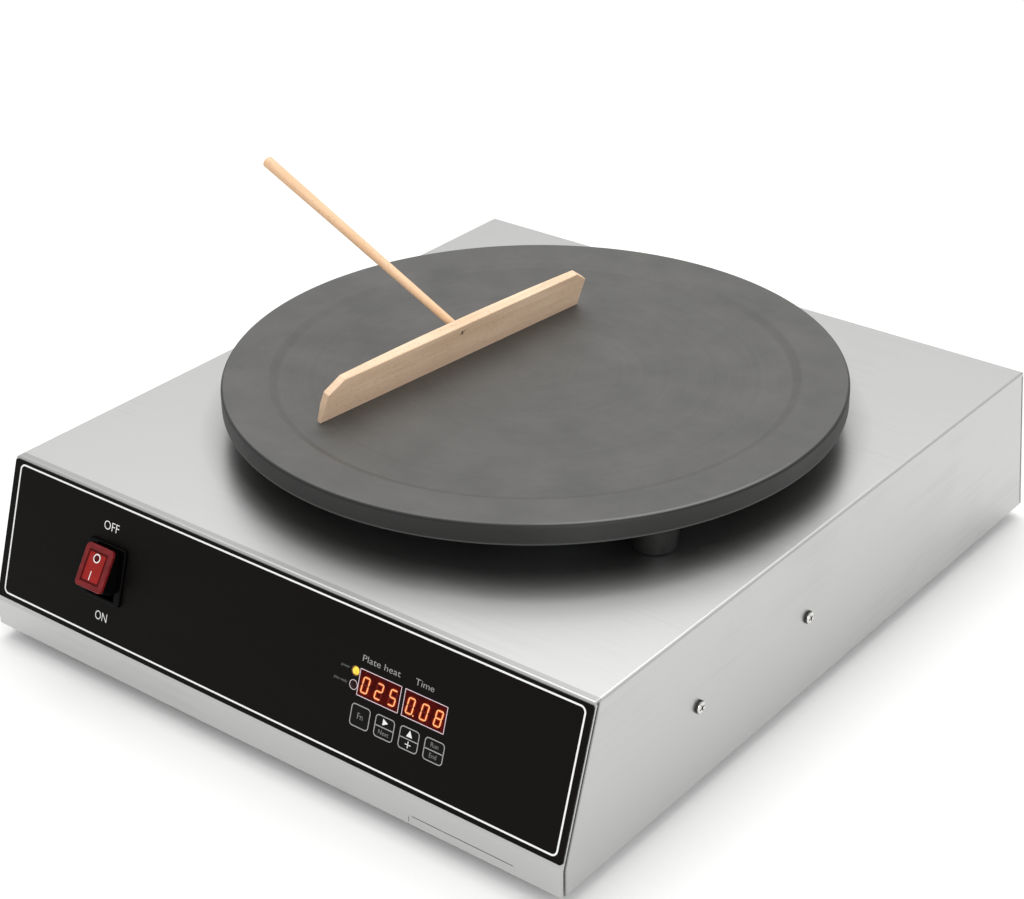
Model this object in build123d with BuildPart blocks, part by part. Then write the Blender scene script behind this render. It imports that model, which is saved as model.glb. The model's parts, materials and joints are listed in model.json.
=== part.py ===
from build123d import *
from math import atan2, cos, degrees, hypot, radians, sin
import os

# Electric crepe maker: a round cast griddle on three legs above a folded steel
# housing, with a rocker switch, a temperature and timer panel and a wooden
# batter spreader that lies on the griddle.
#
# Millimetres.  +Z is up and the front faces -Y.  The origin is on the surface
# under the feet, at the middle of the housing's footprint.

os.makedirs("parts", exist_ok=True)

# ---------------------------------------------------------------------------
# Driving dimensions
# ---------------------------------------------------------------------------

# Housing, one folded sheet with open seams behind the front and back panels
housing_width = 450.0
housing_depth = 530.0
housing_height = 109.0
lip_height = 17.7
front_setback = 30.0
back_setback = 19.0
sheet = 1.2
fold_radius = 2.0
seam_gap = 0.9
return_flange = 14.0
seam_start = 1.0
flange_notch = 20.0

# Base plate and feet
base_sheet = 1.2
base_inset = 4.0
base_corner = 5.0
foot_height = 8.8
foot_top_radius = 12.5
foot_bottom_radius = 10.5
foot_inset = 45.0
foot_bolt_radius = 2.4
foot_bolt_head_radius = 4.6
foot_bolt_head_height = 3.0
foot_recess_depth = 4.6
foot_recess_play = 1.0
foot_edge = 0.8
vent_count = 9
vent_length = 36.0
vent_width = 4.0
vent_pitch = 11.0
base_vent_x = 120.0
base_vent_y = 130.0
back_vent_up = 46.0
back_vent_x = 95.0

# Screws that close the housing
base_screw_radius = 1.7
base_screw_head_radius = 3.6
base_screw_head_height = 1.9
base_screw_reach = 5.0
base_screw_spacing = 180.0
side_screw_radius = 1.95
side_screw_head_radius = 4.1
side_screw_head_height = 2.4
side_screw_head_round = 1.45
side_screw_reach = 7.0
side_screw_up = 53.0
side_screw_first = 127.2
side_screw_spacing = 115.9
side_nut_height = 3.2
side_nut_radius = 4.4
cross_length = 4.6
cross_width = 0.9
cross_depth = 1.2
cross_turn = 20.0
screw_clearance = 0.1

# Shelf between the hot top and the electronics
shelf_sheet = 1.0
shelf_up = 66.0
shelf_depth = 170.0
shelf_flange = 25.0
shelf_window_x = 46.0
shelf_window_y = 62.0
shelf_slot_length = 60.0
shelf_slot_width = 6.0
shelf_slot_pitch = 26.0
shelf_slot_count = 4
shelf_slot_x = 120.0

# Griddle casting
griddle_radius = 200.0
griddle_lift = 32.2
rim_thickness = 13.2
rim_underside_width = 40.0
rim_width = 33.0
recess_depth = 3.0
recess_slope = 6.0
recess_blend = 4.0
web_thickness = 9.0
rim_top_round = 2.4
rim_bottom_round = 1.6
rim_draft = 2.0

# Legs between the griddle and the housing
leg_count = 3
leg_inset = 19.0
leg_first_angle = -30.0
leg_top_radius = 15.0
leg_bottom_radius = 13.6
leg_flare = 2.5
leg_edge = 0.8
stud_radius = 3.95
stud_fit = 0.05
stud_depth = 8.5
stud_tail = 12.0
stud_chamfer = 0.6
leg_bore_clearance = 0.2
washer_radius = 9.0
washer_thickness = 1.6
nut_radius = 7.5
nut_height = 6.5

# Heating element, a two-turn tubular loop with both ends turned down
tube_radius = 4.0
element_gap = 0.1
turn_inset = 20.0
turn_pitch = 35.0
outer_start_angle = -80.0
inner_end_angle = -70.0
turn_back_angle = 240.0
terminal_bend = 12.0
terminal_tail = 14.0
pin_radius = 1.6
pin_length = 10.0
bush_flange_radius = 9.0
bush_flange = 3.0
bush_radius = 6.2
bush_depth = 8.0
bush_edge = 0.6

# Pressed cover that clamps the element to the griddle
cover_clearance = 10.0
cover_sheet = 1.5
cover_round = 2.0
cover_window_radius = 11.0
cover_window_shift = 8.4
cover_boss_inset = 35.0
cover_boss_radius = 7.0
cover_bolt_radius = 2.4
cover_bolt_head_radius = 4.6
cover_bolt_head_height = 3.5
cover_bolt_depth = 9.0
cover_bolt_play = 1.0

# Temperature probe at the middle of the griddle
probe_radius = 3.0
probe_pocket_depth = 1.5
probe_tail = 22.0
probe_window_radius = 6.0
probe_edge = 0.8
gland_bush_radius = 5.0
gland_bush_head_radius = 8.0
gland_bush_head = 4.0
gland_bush_depth = 7.0
running_clearance = 0.1

# Control panel film on the sloping front
panel_side_margin = 0.6
panel_bottom = 3.5
panel_top_margin = 1.6
panel_corner = 2.0
panel_thickness = 0.8

# Rocker switch
switch_inset = 91.3
switch_up = 48.9
rocker_width = 23.0
rocker_length = 27.4
rocker_corner = 3.0
rocker_face_height = 15.6
rocker_skirt_height = 2.0
rocker_lens_thickness = 2.2
rocker_lens_edge = 0.5
rocker_barrel_radius = 9.0
rocker_tilt = 15.0
rocker_pivot_depth = 3.5
rocker_pin_radius = 1.5
rocker_pin_length = 1.0
rocker_side_clearance = 0.3
rocker_end_clearance = 2.45
lens_inset_width = 16.2
lens_inset_length = 20.6
lens_inset_depth = 0.5
switch_wall = 1.3
switch_body_depth = 24.0
switch_cavity_depth = 14.0
bezel_width = 33.0
bezel_length = 37.0
bezel_height = 2.2
bezel_corner = 3.0
bezel_round = 0.8
cutout_clearance = 0.2
tab_width = 6.3
tab_thickness = 0.8
tab_length = 9.0
tab_pitch = 11.0

# Displays, lamps and keys
display_width = 30.2
display_height = 15.9
display_up = 52.2
display_from_key = 9.8
display_pitch = 32.9
display_clearance = 0.1
display_sunk = 0.1
lamp_from_key = 8.5
lamp_first_up = 57.4
lamp_pitch = 8.3
lamp_radius = 2.5
lamp_proud = 0.9
lamp_round = 1.75
lamp_base_radius = 2.9
lamp_base_height = 1.0
key_names = ("set_key", "right_key", "up_key", "start_key")
key_inset = 148.5
key_pitch = 17.9
key_up = 32.7
key_width = 14.2
key_height = 13.5
key_corner = 2.5
key_proud = 0.15
key_clearance = 0.15
key_flange = 1.0
key_flange_thickness = 0.8
key_gap = 0.1
key_travel = 0.4
key_stem_radius = 1.7
window_width = 81.0
window_height = 39.4
window_up = 42.4

# Control board behind the panel
board_thickness = 1.6
board_depth = 9.0
board_width = 92.0
board_height = 62.0
board_margin = 4.0
standoff_radius = 2.5
tact_side = 6.0
tact_height = 3.5

# Power electronics on the base plate
power_board_x = 60.0
power_board_y = -80.0
power_board_width = 130.0
power_board_depth = 90.0
power_spacer_height = 8.0
power_spacer_radius = 3.0
transformer_width = 36.0
transformer_depth = 30.0
transformer_core_height = 20.0
transformer_winding_height = 28.0
winding_width = 21.6
winding_corner = 3.0
relay_width = 28.0
relay_depth = 13.0
relay_height = 25.0
relay_corner = 1.0
sink_width = 50.0
sink_depth = 24.0
sink_height = 38.0
sink_fins = 6
sink_fin_thickness = 1.6
sink_back_thickness = 4.0
triac_width = 15.0
triac_height = 20.0
triac_thickness = 4.6
triac_leg_width = 1.2
triac_leg_thickness = 0.8
block_pole_pitch = 10.0
block_depth = 14.0
block_height = 16.0
block_screw_radius = 3.0
block_screw_recess = 3.0
block_end_wall = 1.0
mains_block_inset = 60.0
input_block_shift = 30.0

# Cable gland in the back panel
gland_inset = 115.0
gland_up = 82.0
gland_bore_radius = 4.0
gland_thread_radius = 7.9
gland_hex_radius = 13.0
gland_hex_height = 4.0
gland_cap_radius = 10.0
gland_cap_height = 7.0
gland_cap_edge = 2.4
gland_thread_length = 10.0
gland_nut_height = 4.0
gland_nut_radius = 12.0

# Thermal cut-out under the hot top
cutout_x = -60.0
cutout_y = -60.0
cutout_radius = 8.0
cutout_height = 9.0
cutout_plate = 0.8
cutout_plate_length = 34.0

# Wiring inside
lead_radius = 1.5
lead_end_gap = 0.3
lead_bend = 10.0
lead_floor_gap = 1.0

# Wooden spreader that lies on the griddle
blade_x = -50.3
blade_y = -13.3
blade_turn = 84.7
blade_lean = 21.0
blade_length = 236.0
blade_height = 31.5
blade_thickness = 7.0
blade_foot_thickness = 2.8
blade_band = 5.0
blade_trim = 2.0
blade_end_thickness = 4.8
blade_end_slope = 1.0
blade_chamfer_width = 11.5
blade_chamfer_height = 8.5
blade_edge_round = 0.5
blade_rest_gap = 0.2
handle_along = -2.0
handle_up = 25.5
handle_length = 188.0
handle_radius = 4.0
handle_tenon_radius = 2.4
handle_neck_radius = 2.7
handle_end_round = 1.0
tenon_fit = 0.02
tenon_cover = 1.8
nail_radius = 1.1

# ---------------------------------------------------------------------------
# Places worked out from the driving dimensions
# ---------------------------------------------------------------------------

front_y = -housing_depth / 2
back_y = housing_depth / 2
housing_z = foot_height + base_sheet
top_z = housing_z + housing_height
top_inner_z = top_z - sheet
front_top_y = front_y + front_setback
back_top_y = back_y - back_setback

gland_x = housing_width / 2 - gland_inset
griddle_y = (front_top_y + back_top_y) / 2
griddle_top_z = top_z + griddle_lift
griddle_floor_z = griddle_top_z - recess_depth
web_z = griddle_floor_z - web_thickness
rim_z = griddle_top_z - rim_thickness
element_z = web_z - element_gap - tube_radius
cover_top_z = element_z - tube_radius - element_gap
rim_shoulder_radius = griddle_radius - rim_underside_width
recess_radius = griddle_radius - rim_width
leg_circle = griddle_radius - leg_inset
cover_radius = rim_shoulder_radius - cover_clearance
outer_turn = cover_radius - turn_inset
inner_turn = outer_turn - turn_pitch
cover_boss_circle = inner_turn - cover_boss_inset
griddle_axis = Axis((0, griddle_y, 0), (0, 0, 1))
section_plane = Plane(origin=(0, griddle_y, 0), x_dir=(1, 0, 0), z_dir=(0, -1, 0))

slope_angle = degrees(atan2(front_setback, housing_height - lip_height))
back_angle = degrees(atan2(back_setback, housing_height))
panel_plane = Plane(
    origin=(0, front_y, housing_z + lip_height),
    x_dir=(1, 0, 0),
    z_dir=(0, -cos(radians(slope_angle)), sin(radians(slope_angle))),
)
panel_width = housing_width - 2 * panel_side_margin
panel_top = hypot(front_setback, housing_height - lip_height) - panel_top_margin
back_plane = Plane(
    origin=(0, back_y, housing_z),
    x_dir=(-1, 0, 0),
    z_dir=(0, cos(radians(back_angle)), sin(radians(back_angle))),
)

switch_x = switch_inset - housing_width / 2
opening_width = rocker_width + 2 * rocker_side_clearance
opening_length = rocker_length + 2 * rocker_end_clearance
switch_body_width = opening_width + 2 * switch_wall
switch_body_length = opening_length + 2 * switch_wall
pivot = panel_plane.from_local_coords((switch_x, switch_up, -rocker_pivot_depth))
rocker_plane = Plane(
    origin=pivot,
    x_dir=(1, 0, 0),
    z_dir=(
        0,
        -cos(radians(slope_angle + rocker_tilt)),
        sin(radians(slope_angle + rocker_tilt)),
    ),
)
pivot_plane = Plane(origin=pivot, x_dir=(0, 1, 0), z_dir=(1, 0, 0))

key_first_x = housing_width / 2 - key_inset
lamp_x = key_first_x - lamp_from_key
display_first_x = key_first_x + display_from_key
key_xs = [key_first_x + index * key_pitch for index in range(len(key_names))]
display_xs = [display_first_x, display_first_x + display_pitch]
lamp_ups = [lamp_first_up, lamp_first_up - lamp_pitch]
window_x = (key_xs[0] + key_xs[-1]) / 2

side_screw_ys = [
    front_y + side_screw_first,
    front_y + side_screw_first + side_screw_spacing,
]
shelf_y = sum(side_screw_ys) / 2
shelf_z = housing_z + shelf_up
inner_half_width = housing_width / 2 - sheet
power_board_z = housing_z + power_spacer_height
power_top_z = power_board_z + board_thickness

leg_angles = [leg_first_angle + index * 360 / leg_count for index in range(leg_count)]


def on_circle(radius, angle, height):
    """A point around the griddle's axis."""
    turn = radians(angle)
    return Vector(radius * cos(turn), griddle_y + radius * sin(turn), height)


def upright(place):
    """A vertical plane through a place, with local x to the right and local y up."""
    return Plane(origin=(place.X, place.Y, 0), x_dir=(1, 0, 0), z_dir=(0, -1, 0))


def level(height):
    """A horizontal plane whose origin is on the griddle's axis."""
    return Plane(origin=(0, griddle_y, height))


def keep(piece, name):
    """Label a finished piece and write it to its own file."""
    piece.part.label = name
    export_step(piece.part, f"parts/{name}.step")


def bend_down(start, heading):
    """Quarter bend of the element's end, from level to straight down."""
    half = radians(45)
    middle = start + heading * (terminal_bend * sin(half))
    middle = middle - Vector(0, 0, terminal_bend * (1 - cos(half)))
    end = start + heading * terminal_bend - Vector(0, 0, terminal_bend)
    return middle, end


outer_start = on_circle(outer_turn, outer_start_angle, element_z)
outer_heading = Vector(
    sin(radians(outer_start_angle)), -cos(radians(outer_start_angle)), 0
)
inner_end = on_circle(inner_turn, inner_end_angle, element_z)
inner_heading = Vector(
    sin(radians(inner_end_angle)), -cos(radians(inner_end_angle)), 0
)
outer_middle, outer_drop = bend_down(outer_start, outer_heading)
inner_middle, inner_drop = bend_down(inner_end, inner_heading)
terminals = [outer_drop, inner_drop]
terminal_end_z = top_z - terminal_tail
pin_end_z = terminal_end_z - pin_length

# ---------------------------------------------------------------------------
# Housing
# ---------------------------------------------------------------------------

with BuildPart() as housing_cover:
    with BuildSketch(Plane.YZ):
        with BuildLine():
            Polyline(
                (front_y, housing_z),
                (front_y, housing_z + lip_height),
                (front_top_y, top_z),
                (back_top_y, top_z),
                (back_y, housing_z),
                close=True,
            )
        make_face()
    extrude(amount=housing_width / 2, both=True)
    fillet(housing_cover.faces().sort_by(Axis.Z)[-1].edges(), radius=fold_radius)
    lip_fold = housing_cover.edges().filter_by(Axis.X).sort_by(Axis.Y)
    lip_fold = lip_fold.filter_by_position(
        Axis.Z, housing_z + lip_height / 2, housing_z + 2 * lip_height
    )
    fillet(lip_fold[0], radius=fold_radius)
    offset(amount=-sheet, openings=housing_cover.faces().sort_by(Axis.Z)[0])

    # Return flanges along the bottom, notched at the corners.
    with BuildSketch(Plane.XY.offset(housing_z)):
        Rectangle(housing_width - sheet, housing_depth - sheet)
        Rectangle(
            housing_width - 2 * return_flange,
            housing_depth - 2 * return_flange,
            mode=Mode.SUBTRACT,
        )
        with GridLocations(housing_width, housing_depth, 2, 2):
            Rectangle(2 * flange_notch, 2 * flange_notch, mode=Mode.SUBTRACT)
    extrude(amount=sheet)

    # Open seams where the side panels meet the folded front and back.
    seam_reach = sheet / cos(radians(slope_angle))
    back_reach = sheet / cos(radians(back_angle))
    for sign in (-1, 1):
        with BuildSketch(Plane.YZ.offset(sign * housing_width / 2)):
            with BuildLine():
                Polyline(
                    (front_y + sheet, housing_z - seam_start),
                    (front_y + sheet, housing_z + lip_height),
                    (front_top_y + seam_reach, top_z),
                    (front_top_y + seam_reach + seam_gap, top_z),
                    (front_y + sheet + seam_gap, housing_z + lip_height),
                    (front_y + sheet + seam_gap, housing_z - seam_start),
                    close=True,
                )
            make_face()
            with BuildLine():
                Polyline(
                    (back_y - back_reach, housing_z - seam_start),
                    (back_top_y - back_reach, top_z),
                    (back_top_y - back_reach - seam_gap, top_z),
                    (back_y - back_reach - seam_gap, housing_z - seam_start),
                    close=True,
                )
            make_face()
            with Locations((0, top_z)):
                Rectangle(
                    2 * housing_depth, 2 * (fold_radius + seam_start), mode=Mode.SUBTRACT
                )
        extrude(amount=sheet + seam_start, both=True, mode=Mode.SUBTRACT)

    # Cut-outs in the sloping front.
    with BuildSketch(panel_plane):
        with Locations((switch_x, switch_up)):
            Rectangle(
                switch_body_width + 2 * cutout_clearance,
                switch_body_length + 2 * cutout_clearance,
            )
        with Locations((window_x, window_up)):
            RectangleRounded(window_width, window_height, panel_corner)
    extrude(amount=2 * sheet, both=True, mode=Mode.SUBTRACT)

    # Holes in the top for the studs, the element's ends and the probe.
    with BuildSketch(level(top_z)):
        with PolarLocations(leg_circle, leg_count, start_angle=leg_first_angle):
            Circle(stud_radius + leg_bore_clearance)
        Circle(gland_bush_radius + running_clearance)
    extrude(amount=2 * sheet, both=True, mode=Mode.SUBTRACT)
    with BuildSketch(Plane.XY.offset(top_z)):
        with Locations(*[(place.X, place.Y) for place in terminals]):
            Circle(bush_radius + running_clearance)
    extrude(amount=2 * sheet, both=True, mode=Mode.SUBTRACT)

    # Screw holes in the sides and the bottom flanges.
    with BuildSketch(Plane.YZ):
        with Locations(*[(y, housing_z + side_screw_up) for y in side_screw_ys]):
            Circle(side_screw_radius + screw_clearance)
    extrude(amount=housing_width, both=True, mode=Mode.SUBTRACT)
    with BuildSketch(Plane.XY.offset(housing_z)):
        with GridLocations(
            housing_width - return_flange - sheet, base_screw_spacing, 2, 3
        ):
            Circle(base_screw_radius + screw_clearance)
    extrude(amount=2 * sheet, both=True, mode=Mode.SUBTRACT)

    # Cable hole and vent slots in the back.
    with BuildSketch(back_plane):
        with Locations((-gland_x, gland_up)):
            Circle(gland_thread_radius + screw_clearance)
        with Locations((back_vent_x, back_vent_up)):
            with GridLocations(vent_pitch, 1, vent_count, 1):
                SlotOverall(vent_length, vent_width, rotation=90)
    extrude(amount=2 * sheet, both=True, mode=Mode.SUBTRACT)
keep(housing_cover, "housing_cover")

with BuildPart() as base_plate:
    with BuildSketch(Plane.XY.offset(foot_height)):
        RectangleRounded(
            housing_width - 2 * base_inset, housing_depth - 2 * base_inset, base_corner
        )
        with GridLocations(
            housing_width - 2 * foot_inset, housing_depth - 2 * foot_inset, 2, 2
        ):
            Circle(foot_bolt_radius + screw_clearance, mode=Mode.SUBTRACT)
        with GridLocations(
            housing_width - return_flange - sheet, base_screw_spacing, 2, 3
        ):
            Circle(base_screw_radius + screw_clearance, mode=Mode.SUBTRACT)
        for side in (-1, 1):
            with Locations((side * base_vent_x, base_vent_y)):
                with GridLocations(vent_pitch, 1, vent_count, 1):
                    SlotOverall(
                        vent_length, vent_width, rotation=90, mode=Mode.SUBTRACT
                    )
    extrude(amount=base_sheet)
keep(base_plate, "base_plate")

foot_spots = {
    "foot_front_left": (-1, -1),
    "foot_front_right": (1, -1),
    "foot_back_left": (-1, 1),
    "foot_back_right": (1, 1),
}
for foot_name, (foot_side, foot_end) in foot_spots.items():
    foot_place = Vector(
        foot_side * (housing_width / 2 - foot_inset),
        foot_end * (housing_depth / 2 - foot_inset),
        0,
    )
    with BuildPart() as foot:
        with BuildSketch(upright(foot_place)):
            with BuildLine():
                Polyline(
                    (foot_bolt_radius + screw_clearance, foot_recess_depth),
                    (foot_bolt_head_radius + foot_recess_play, foot_recess_depth),
                    (foot_bolt_head_radius + foot_recess_play, 0),
                    (foot_bottom_radius, 0),
                    (foot_top_radius, foot_height),
                    (foot_bolt_radius + screw_clearance, foot_height),
                    close=True,
                )
            make_face()
        revolve(axis=Axis((foot_place.X, foot_place.Y, 0), (0, 0, 1)))
        foot_rims = foot.edges().group_by(Axis.Z)[0].sort_by(SortBy.LENGTH)
        chamfer(foot_rims[-1], length=foot_edge)
    keep(foot, foot_name)

with BuildPart() as foot_screws:
    head_z = foot_recess_depth - foot_bolt_head_height
    with BuildSketch(Plane.XY.offset(head_z)):
        with GridLocations(
            housing_width - 2 * foot_inset, housing_depth - 2 * foot_inset, 2, 2
        ):
            Circle(foot_bolt_head_radius)
    extrude(amount=foot_bolt_head_height)
    with BuildSketch(Plane.XY.offset(foot_recess_depth)):
        with GridLocations(
            housing_width - 2 * foot_inset, housing_depth - 2 * foot_inset, 2, 2
        ):
            Circle(foot_bolt_radius)
    extrude(amount=housing_z + 2 * foot_bolt_head_height - foot_recess_depth)
keep(foot_screws, "foot_screws")

with BuildPart() as foot_nuts:
    with BuildSketch(Plane.XY.offset(housing_z)):
        with GridLocations(
            housing_width - 2 * foot_inset, housing_depth - 2 * foot_inset, 2, 2
        ):
            RegularPolygon(foot_bolt_head_radius, 6)
            Circle(foot_bolt_radius + stud_fit, mode=Mode.SUBTRACT)
    extrude(amount=foot_bolt_head_height)
keep(foot_nuts, "foot_nuts")

with BuildPart() as base_screws:
    with BuildSketch(Plane.XY.offset(foot_height)):
        with GridLocations(
            housing_width - return_flange - sheet, base_screw_spacing, 2, 3
        ):
            Circle(base_screw_head_radius)
    extrude(amount=-base_screw_head_height)
    chamfer(base_screws.edges().group_by(Axis.Z)[0], length=base_screw_head_height / 2)
    with BuildSketch(Plane.XY.offset(foot_height)):
        with GridLocations(
            housing_width - return_flange - sheet, base_screw_spacing, 2, 3
        ):
            Circle(base_screw_radius)
    extrude(amount=base_sheet + sheet + base_screw_reach)
keep(base_screws, "base_screws")

# Shelf that keeps the heat of the griddle off the electronics, hung from the
# side screws by its turned-down flanges.
with BuildPart() as heat_shelf:
    with BuildSketch(Plane.XZ.offset(-(shelf_y - shelf_depth / 2))):
        with BuildLine():
            Polyline(
                (-inner_half_width, shelf_z - shelf_flange),
                (-inner_half_width, shelf_z),
                (inner_half_width, shelf_z),
                (inner_half_width, shelf_z - shelf_flange),
                (inner_half_width - shelf_sheet, shelf_z - shelf_flange),
                (inner_half_width - shelf_sheet, shelf_z - shelf_sheet),
                (-inner_half_width + shelf_sheet, shelf_z - shelf_sheet),
                (-inner_half_width + shelf_sheet, shelf_z - shelf_flange),
                close=True,
            )
        make_face()
    extrude(amount=-shelf_depth)
    with BuildSketch(Plane.XY.offset(shelf_z)):
        window_place = (outer_drop + inner_drop) / 2
        with Locations((window_place.X, window_place.Y)):
            RectangleRounded(shelf_window_x, shelf_window_y, panel_corner)
        for side in (-1, 1):
            with Locations((side * shelf_slot_x, shelf_y)):
                with GridLocations(1, shelf_slot_pitch, 1, shelf_slot_count):
                    SlotOverall(shelf_slot_length, shelf_slot_width)
        with Locations((0, griddle_y)):
            Circle(gland_bush_head_radius)
    extrude(amount=-2 * shelf_sheet, mode=Mode.SUBTRACT)
    with BuildSketch(Plane.YZ):
        with Locations(*[(y, housing_z + side_screw_up) for y in side_screw_ys]):
            Circle(side_screw_radius + screw_clearance)
    extrude(amount=housing_width, both=True, mode=Mode.SUBTRACT)
keep(heat_shelf, "heat_shelf")

with BuildPart() as side_screws:
    with BuildSketch(Plane.YZ.offset(housing_width / 2)):
        with Locations(*[(y, housing_z + side_screw_up) for y in side_screw_ys]):
            Circle(side_screw_head_radius)
    extrude(amount=side_screw_head_height)
    head_rims = side_screws.edges().group_by(Axis.X)[-1]
    fillet(head_rims, radius=side_screw_head_round)
    with BuildSketch(Plane.YZ.offset(housing_width / 2 + side_screw_head_height)):
        with Locations(*[(y, housing_z + side_screw_up) for y in side_screw_ys]):
            Rectangle(cross_length, cross_width, rotation=cross_turn)
            Rectangle(cross_width, cross_length, rotation=cross_turn)
    extrude(amount=-cross_depth, mode=Mode.SUBTRACT)
    with BuildSketch(Plane.YZ.offset(housing_width / 2)):
        with Locations(*[(y, housing_z + side_screw_up) for y in side_screw_ys]):
            Circle(side_screw_radius)
    extrude(amount=-side_screw_reach)
    mirror(about=Plane.YZ)
keep(side_screws, "side_screws")

with BuildPart() as side_nuts:
    with BuildSketch(Plane.YZ.offset(inner_half_width - shelf_sheet)):
        with Locations(*[(y, housing_z + side_screw_up) for y in side_screw_ys]):
            RegularPolygon(side_nut_radius, 6)
            Circle(side_screw_radius + stud_fit, mode=Mode.SUBTRACT)
    extrude(amount=-side_nut_height)
    mirror(about=Plane.YZ)
keep(side_nuts, "side_nuts")

# ---------------------------------------------------------------------------
# Griddle, legs and heating element
# ---------------------------------------------------------------------------

with BuildPart() as griddle:
    with BuildSketch(section_plane) as casting_section:
        with BuildLine():
            Polyline(
                (0, web_z),
                (rim_shoulder_radius, web_z),
                (rim_shoulder_radius + rim_draft, rim_z),
                (griddle_radius, rim_z),
                (griddle_radius, griddle_top_z),
                (recess_radius + recess_slope / 2, griddle_top_z),
                (recess_radius - recess_slope / 2, griddle_floor_z),
                (0, griddle_floor_z),
                close=True,
            )
        make_face()
        rim_corners = casting_section.vertices().group_by(Axis.X)[-1].sort_by(Axis.Y)
        fillet(rim_corners[-1], radius=rim_top_round)
        fillet(rim_corners[0], radius=rim_bottom_round)
        slope_top = casting_section.vertices().filter_by_position(
            Axis.X, recess_radius, recess_radius + recess_slope
        )
        fillet(slope_top.sort_by(Axis.Y)[-1], radius=recess_blend)
        slope_foot = casting_section.vertices().filter_by_position(
            Axis.X, recess_radius - recess_slope, recess_radius
        )
        fillet(slope_foot.sort_by(Axis.Y)[-1], radius=recess_blend)
    revolve(axis=griddle_axis)

    # Bosses for the cover bolts, and blind holes for the bolts, studs and probe.
    with BuildSketch(level(web_z)):
        with PolarLocations(cover_boss_circle, leg_count, start_angle=leg_first_angle):
            Circle(cover_boss_radius)
    extrude(amount=-(web_z - cover_top_z))
    with BuildSketch(level(cover_top_z)):
        with PolarLocations(cover_boss_circle, leg_count, start_angle=leg_first_angle):
            Circle(cover_bolt_radius + stud_fit)
    extrude(amount=cover_bolt_depth, mode=Mode.SUBTRACT)
    with BuildSketch(level(rim_z)):
        with PolarLocations(leg_circle, leg_count, start_angle=leg_first_angle):
            Circle(stud_radius + stud_fit)
    extrude(amount=stud_depth + stud_fit, mode=Mode.SUBTRACT)
    with BuildSketch(level(web_z)):
        Circle(probe_radius + leg_bore_clearance)
    extrude(amount=probe_pocket_depth, mode=Mode.SUBTRACT)
keep(griddle, "griddle")

leg_names = ("leg_front_right", "leg_back", "leg_front_left")
for leg_name, leg_angle in zip(leg_names, leg_angles):
    leg_place = on_circle(leg_circle, leg_angle, top_z)
    with BuildPart() as leg:
        with BuildSketch(upright(leg_place)):
            with BuildLine():
                Polyline(
                    (stud_radius + leg_bore_clearance, top_z),
                    (leg_bottom_radius, top_z),
                    (leg_top_radius, rim_z - leg_flare),
                    (leg_top_radius + leg_flare, rim_z),
                    (stud_radius + leg_bore_clearance, rim_z),
                    close=True,
                )
            make_face()
        revolve(axis=Axis((leg_place.X, leg_place.Y, 0), (0, 0, 1)))
        outer_rims = leg.edges().group_by(Axis.Z)[0].sort_by(SortBy.LENGTH)
        chamfer(outer_rims[-1], length=leg_edge)
    keep(leg, leg_name)

with BuildPart() as leg_studs:
    with BuildSketch(level(rim_z + stud_depth)):
        with PolarLocations(leg_circle, leg_count, start_angle=leg_first_angle):
            Circle(stud_radius)
    extrude(amount=-(rim_z + stud_depth - top_inner_z + stud_tail))
    chamfer(leg_studs.edges().group_by(Axis.Z)[0], length=stud_chamfer)
keep(leg_studs, "leg_studs")

with BuildPart() as leg_washers:
    with BuildSketch(level(top_inner_z)):
        with PolarLocations(leg_circle, leg_count, start_angle=leg_first_angle):
            Circle(washer_radius)
            Circle(stud_radius + leg_bore_clearance, mode=Mode.SUBTRACT)
    extrude(amount=-washer_thickness)
keep(leg_washers, "leg_washers")

with BuildPart() as leg_nuts:
    with BuildSketch(level(top_inner_z - washer_thickness)):
        with PolarLocations(leg_circle, leg_count, start_angle=leg_first_angle):
            RegularPolygon(nut_radius, 6)
            Circle(stud_radius + stud_fit, mode=Mode.SUBTRACT)
    extrude(amount=-nut_height)
keep(leg_nuts, "leg_nuts")

with BuildPart() as heating_element:
    turn_back_radius = (outer_turn - inner_turn) / 2
    outer_sweep = turn_back_angle - outer_start_angle
    inner_sweep = turn_back_angle - inner_end_angle
    with BuildLine(level(element_z)) as coil:
        CenterArc((0, 0), outer_turn, outer_start_angle, outer_sweep)
        turn_back_middle = (
            (inner_turn + turn_back_radius) * cos(radians(turn_back_angle)),
            (inner_turn + turn_back_radius) * sin(radians(turn_back_angle)),
        )
        CenterArc(turn_back_middle, turn_back_radius, turn_back_angle, 180)
        CenterArc((0, 0), inner_turn, turn_back_angle, -inner_sweep)
    with BuildLine() as outer_terminal:
        outer_foot = Vector(outer_drop.X, outer_drop.Y, terminal_end_z)
        Line(outer_foot, outer_drop)
        ThreePointArc(outer_drop, outer_middle, outer_start)
    with BuildLine() as inner_terminal:
        inner_foot = Vector(inner_drop.X, inner_drop.Y, terminal_end_z)
        ThreePointArc(inner_end, inner_middle, inner_drop)
        Line(inner_drop, inner_foot)
    element_path = Wire(
        outer_terminal.edges() + coil.edges() + inner_terminal.edges()
    )
    with BuildSketch(Plane.XY.offset(terminal_end_z)):
        with Locations((outer_drop.X, outer_drop.Y)):
            Circle(tube_radius)
    sweep(path=element_path)
keep(heating_element, "heating_element")

with BuildPart() as element_pins:
    with BuildSketch(Plane.XY.offset(terminal_end_z)):
        with Locations(*[(place.X, place.Y) for place in terminals]):
            Circle(pin_radius)
    extrude(amount=-pin_length)
keep(element_pins, "element_pins")

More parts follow.
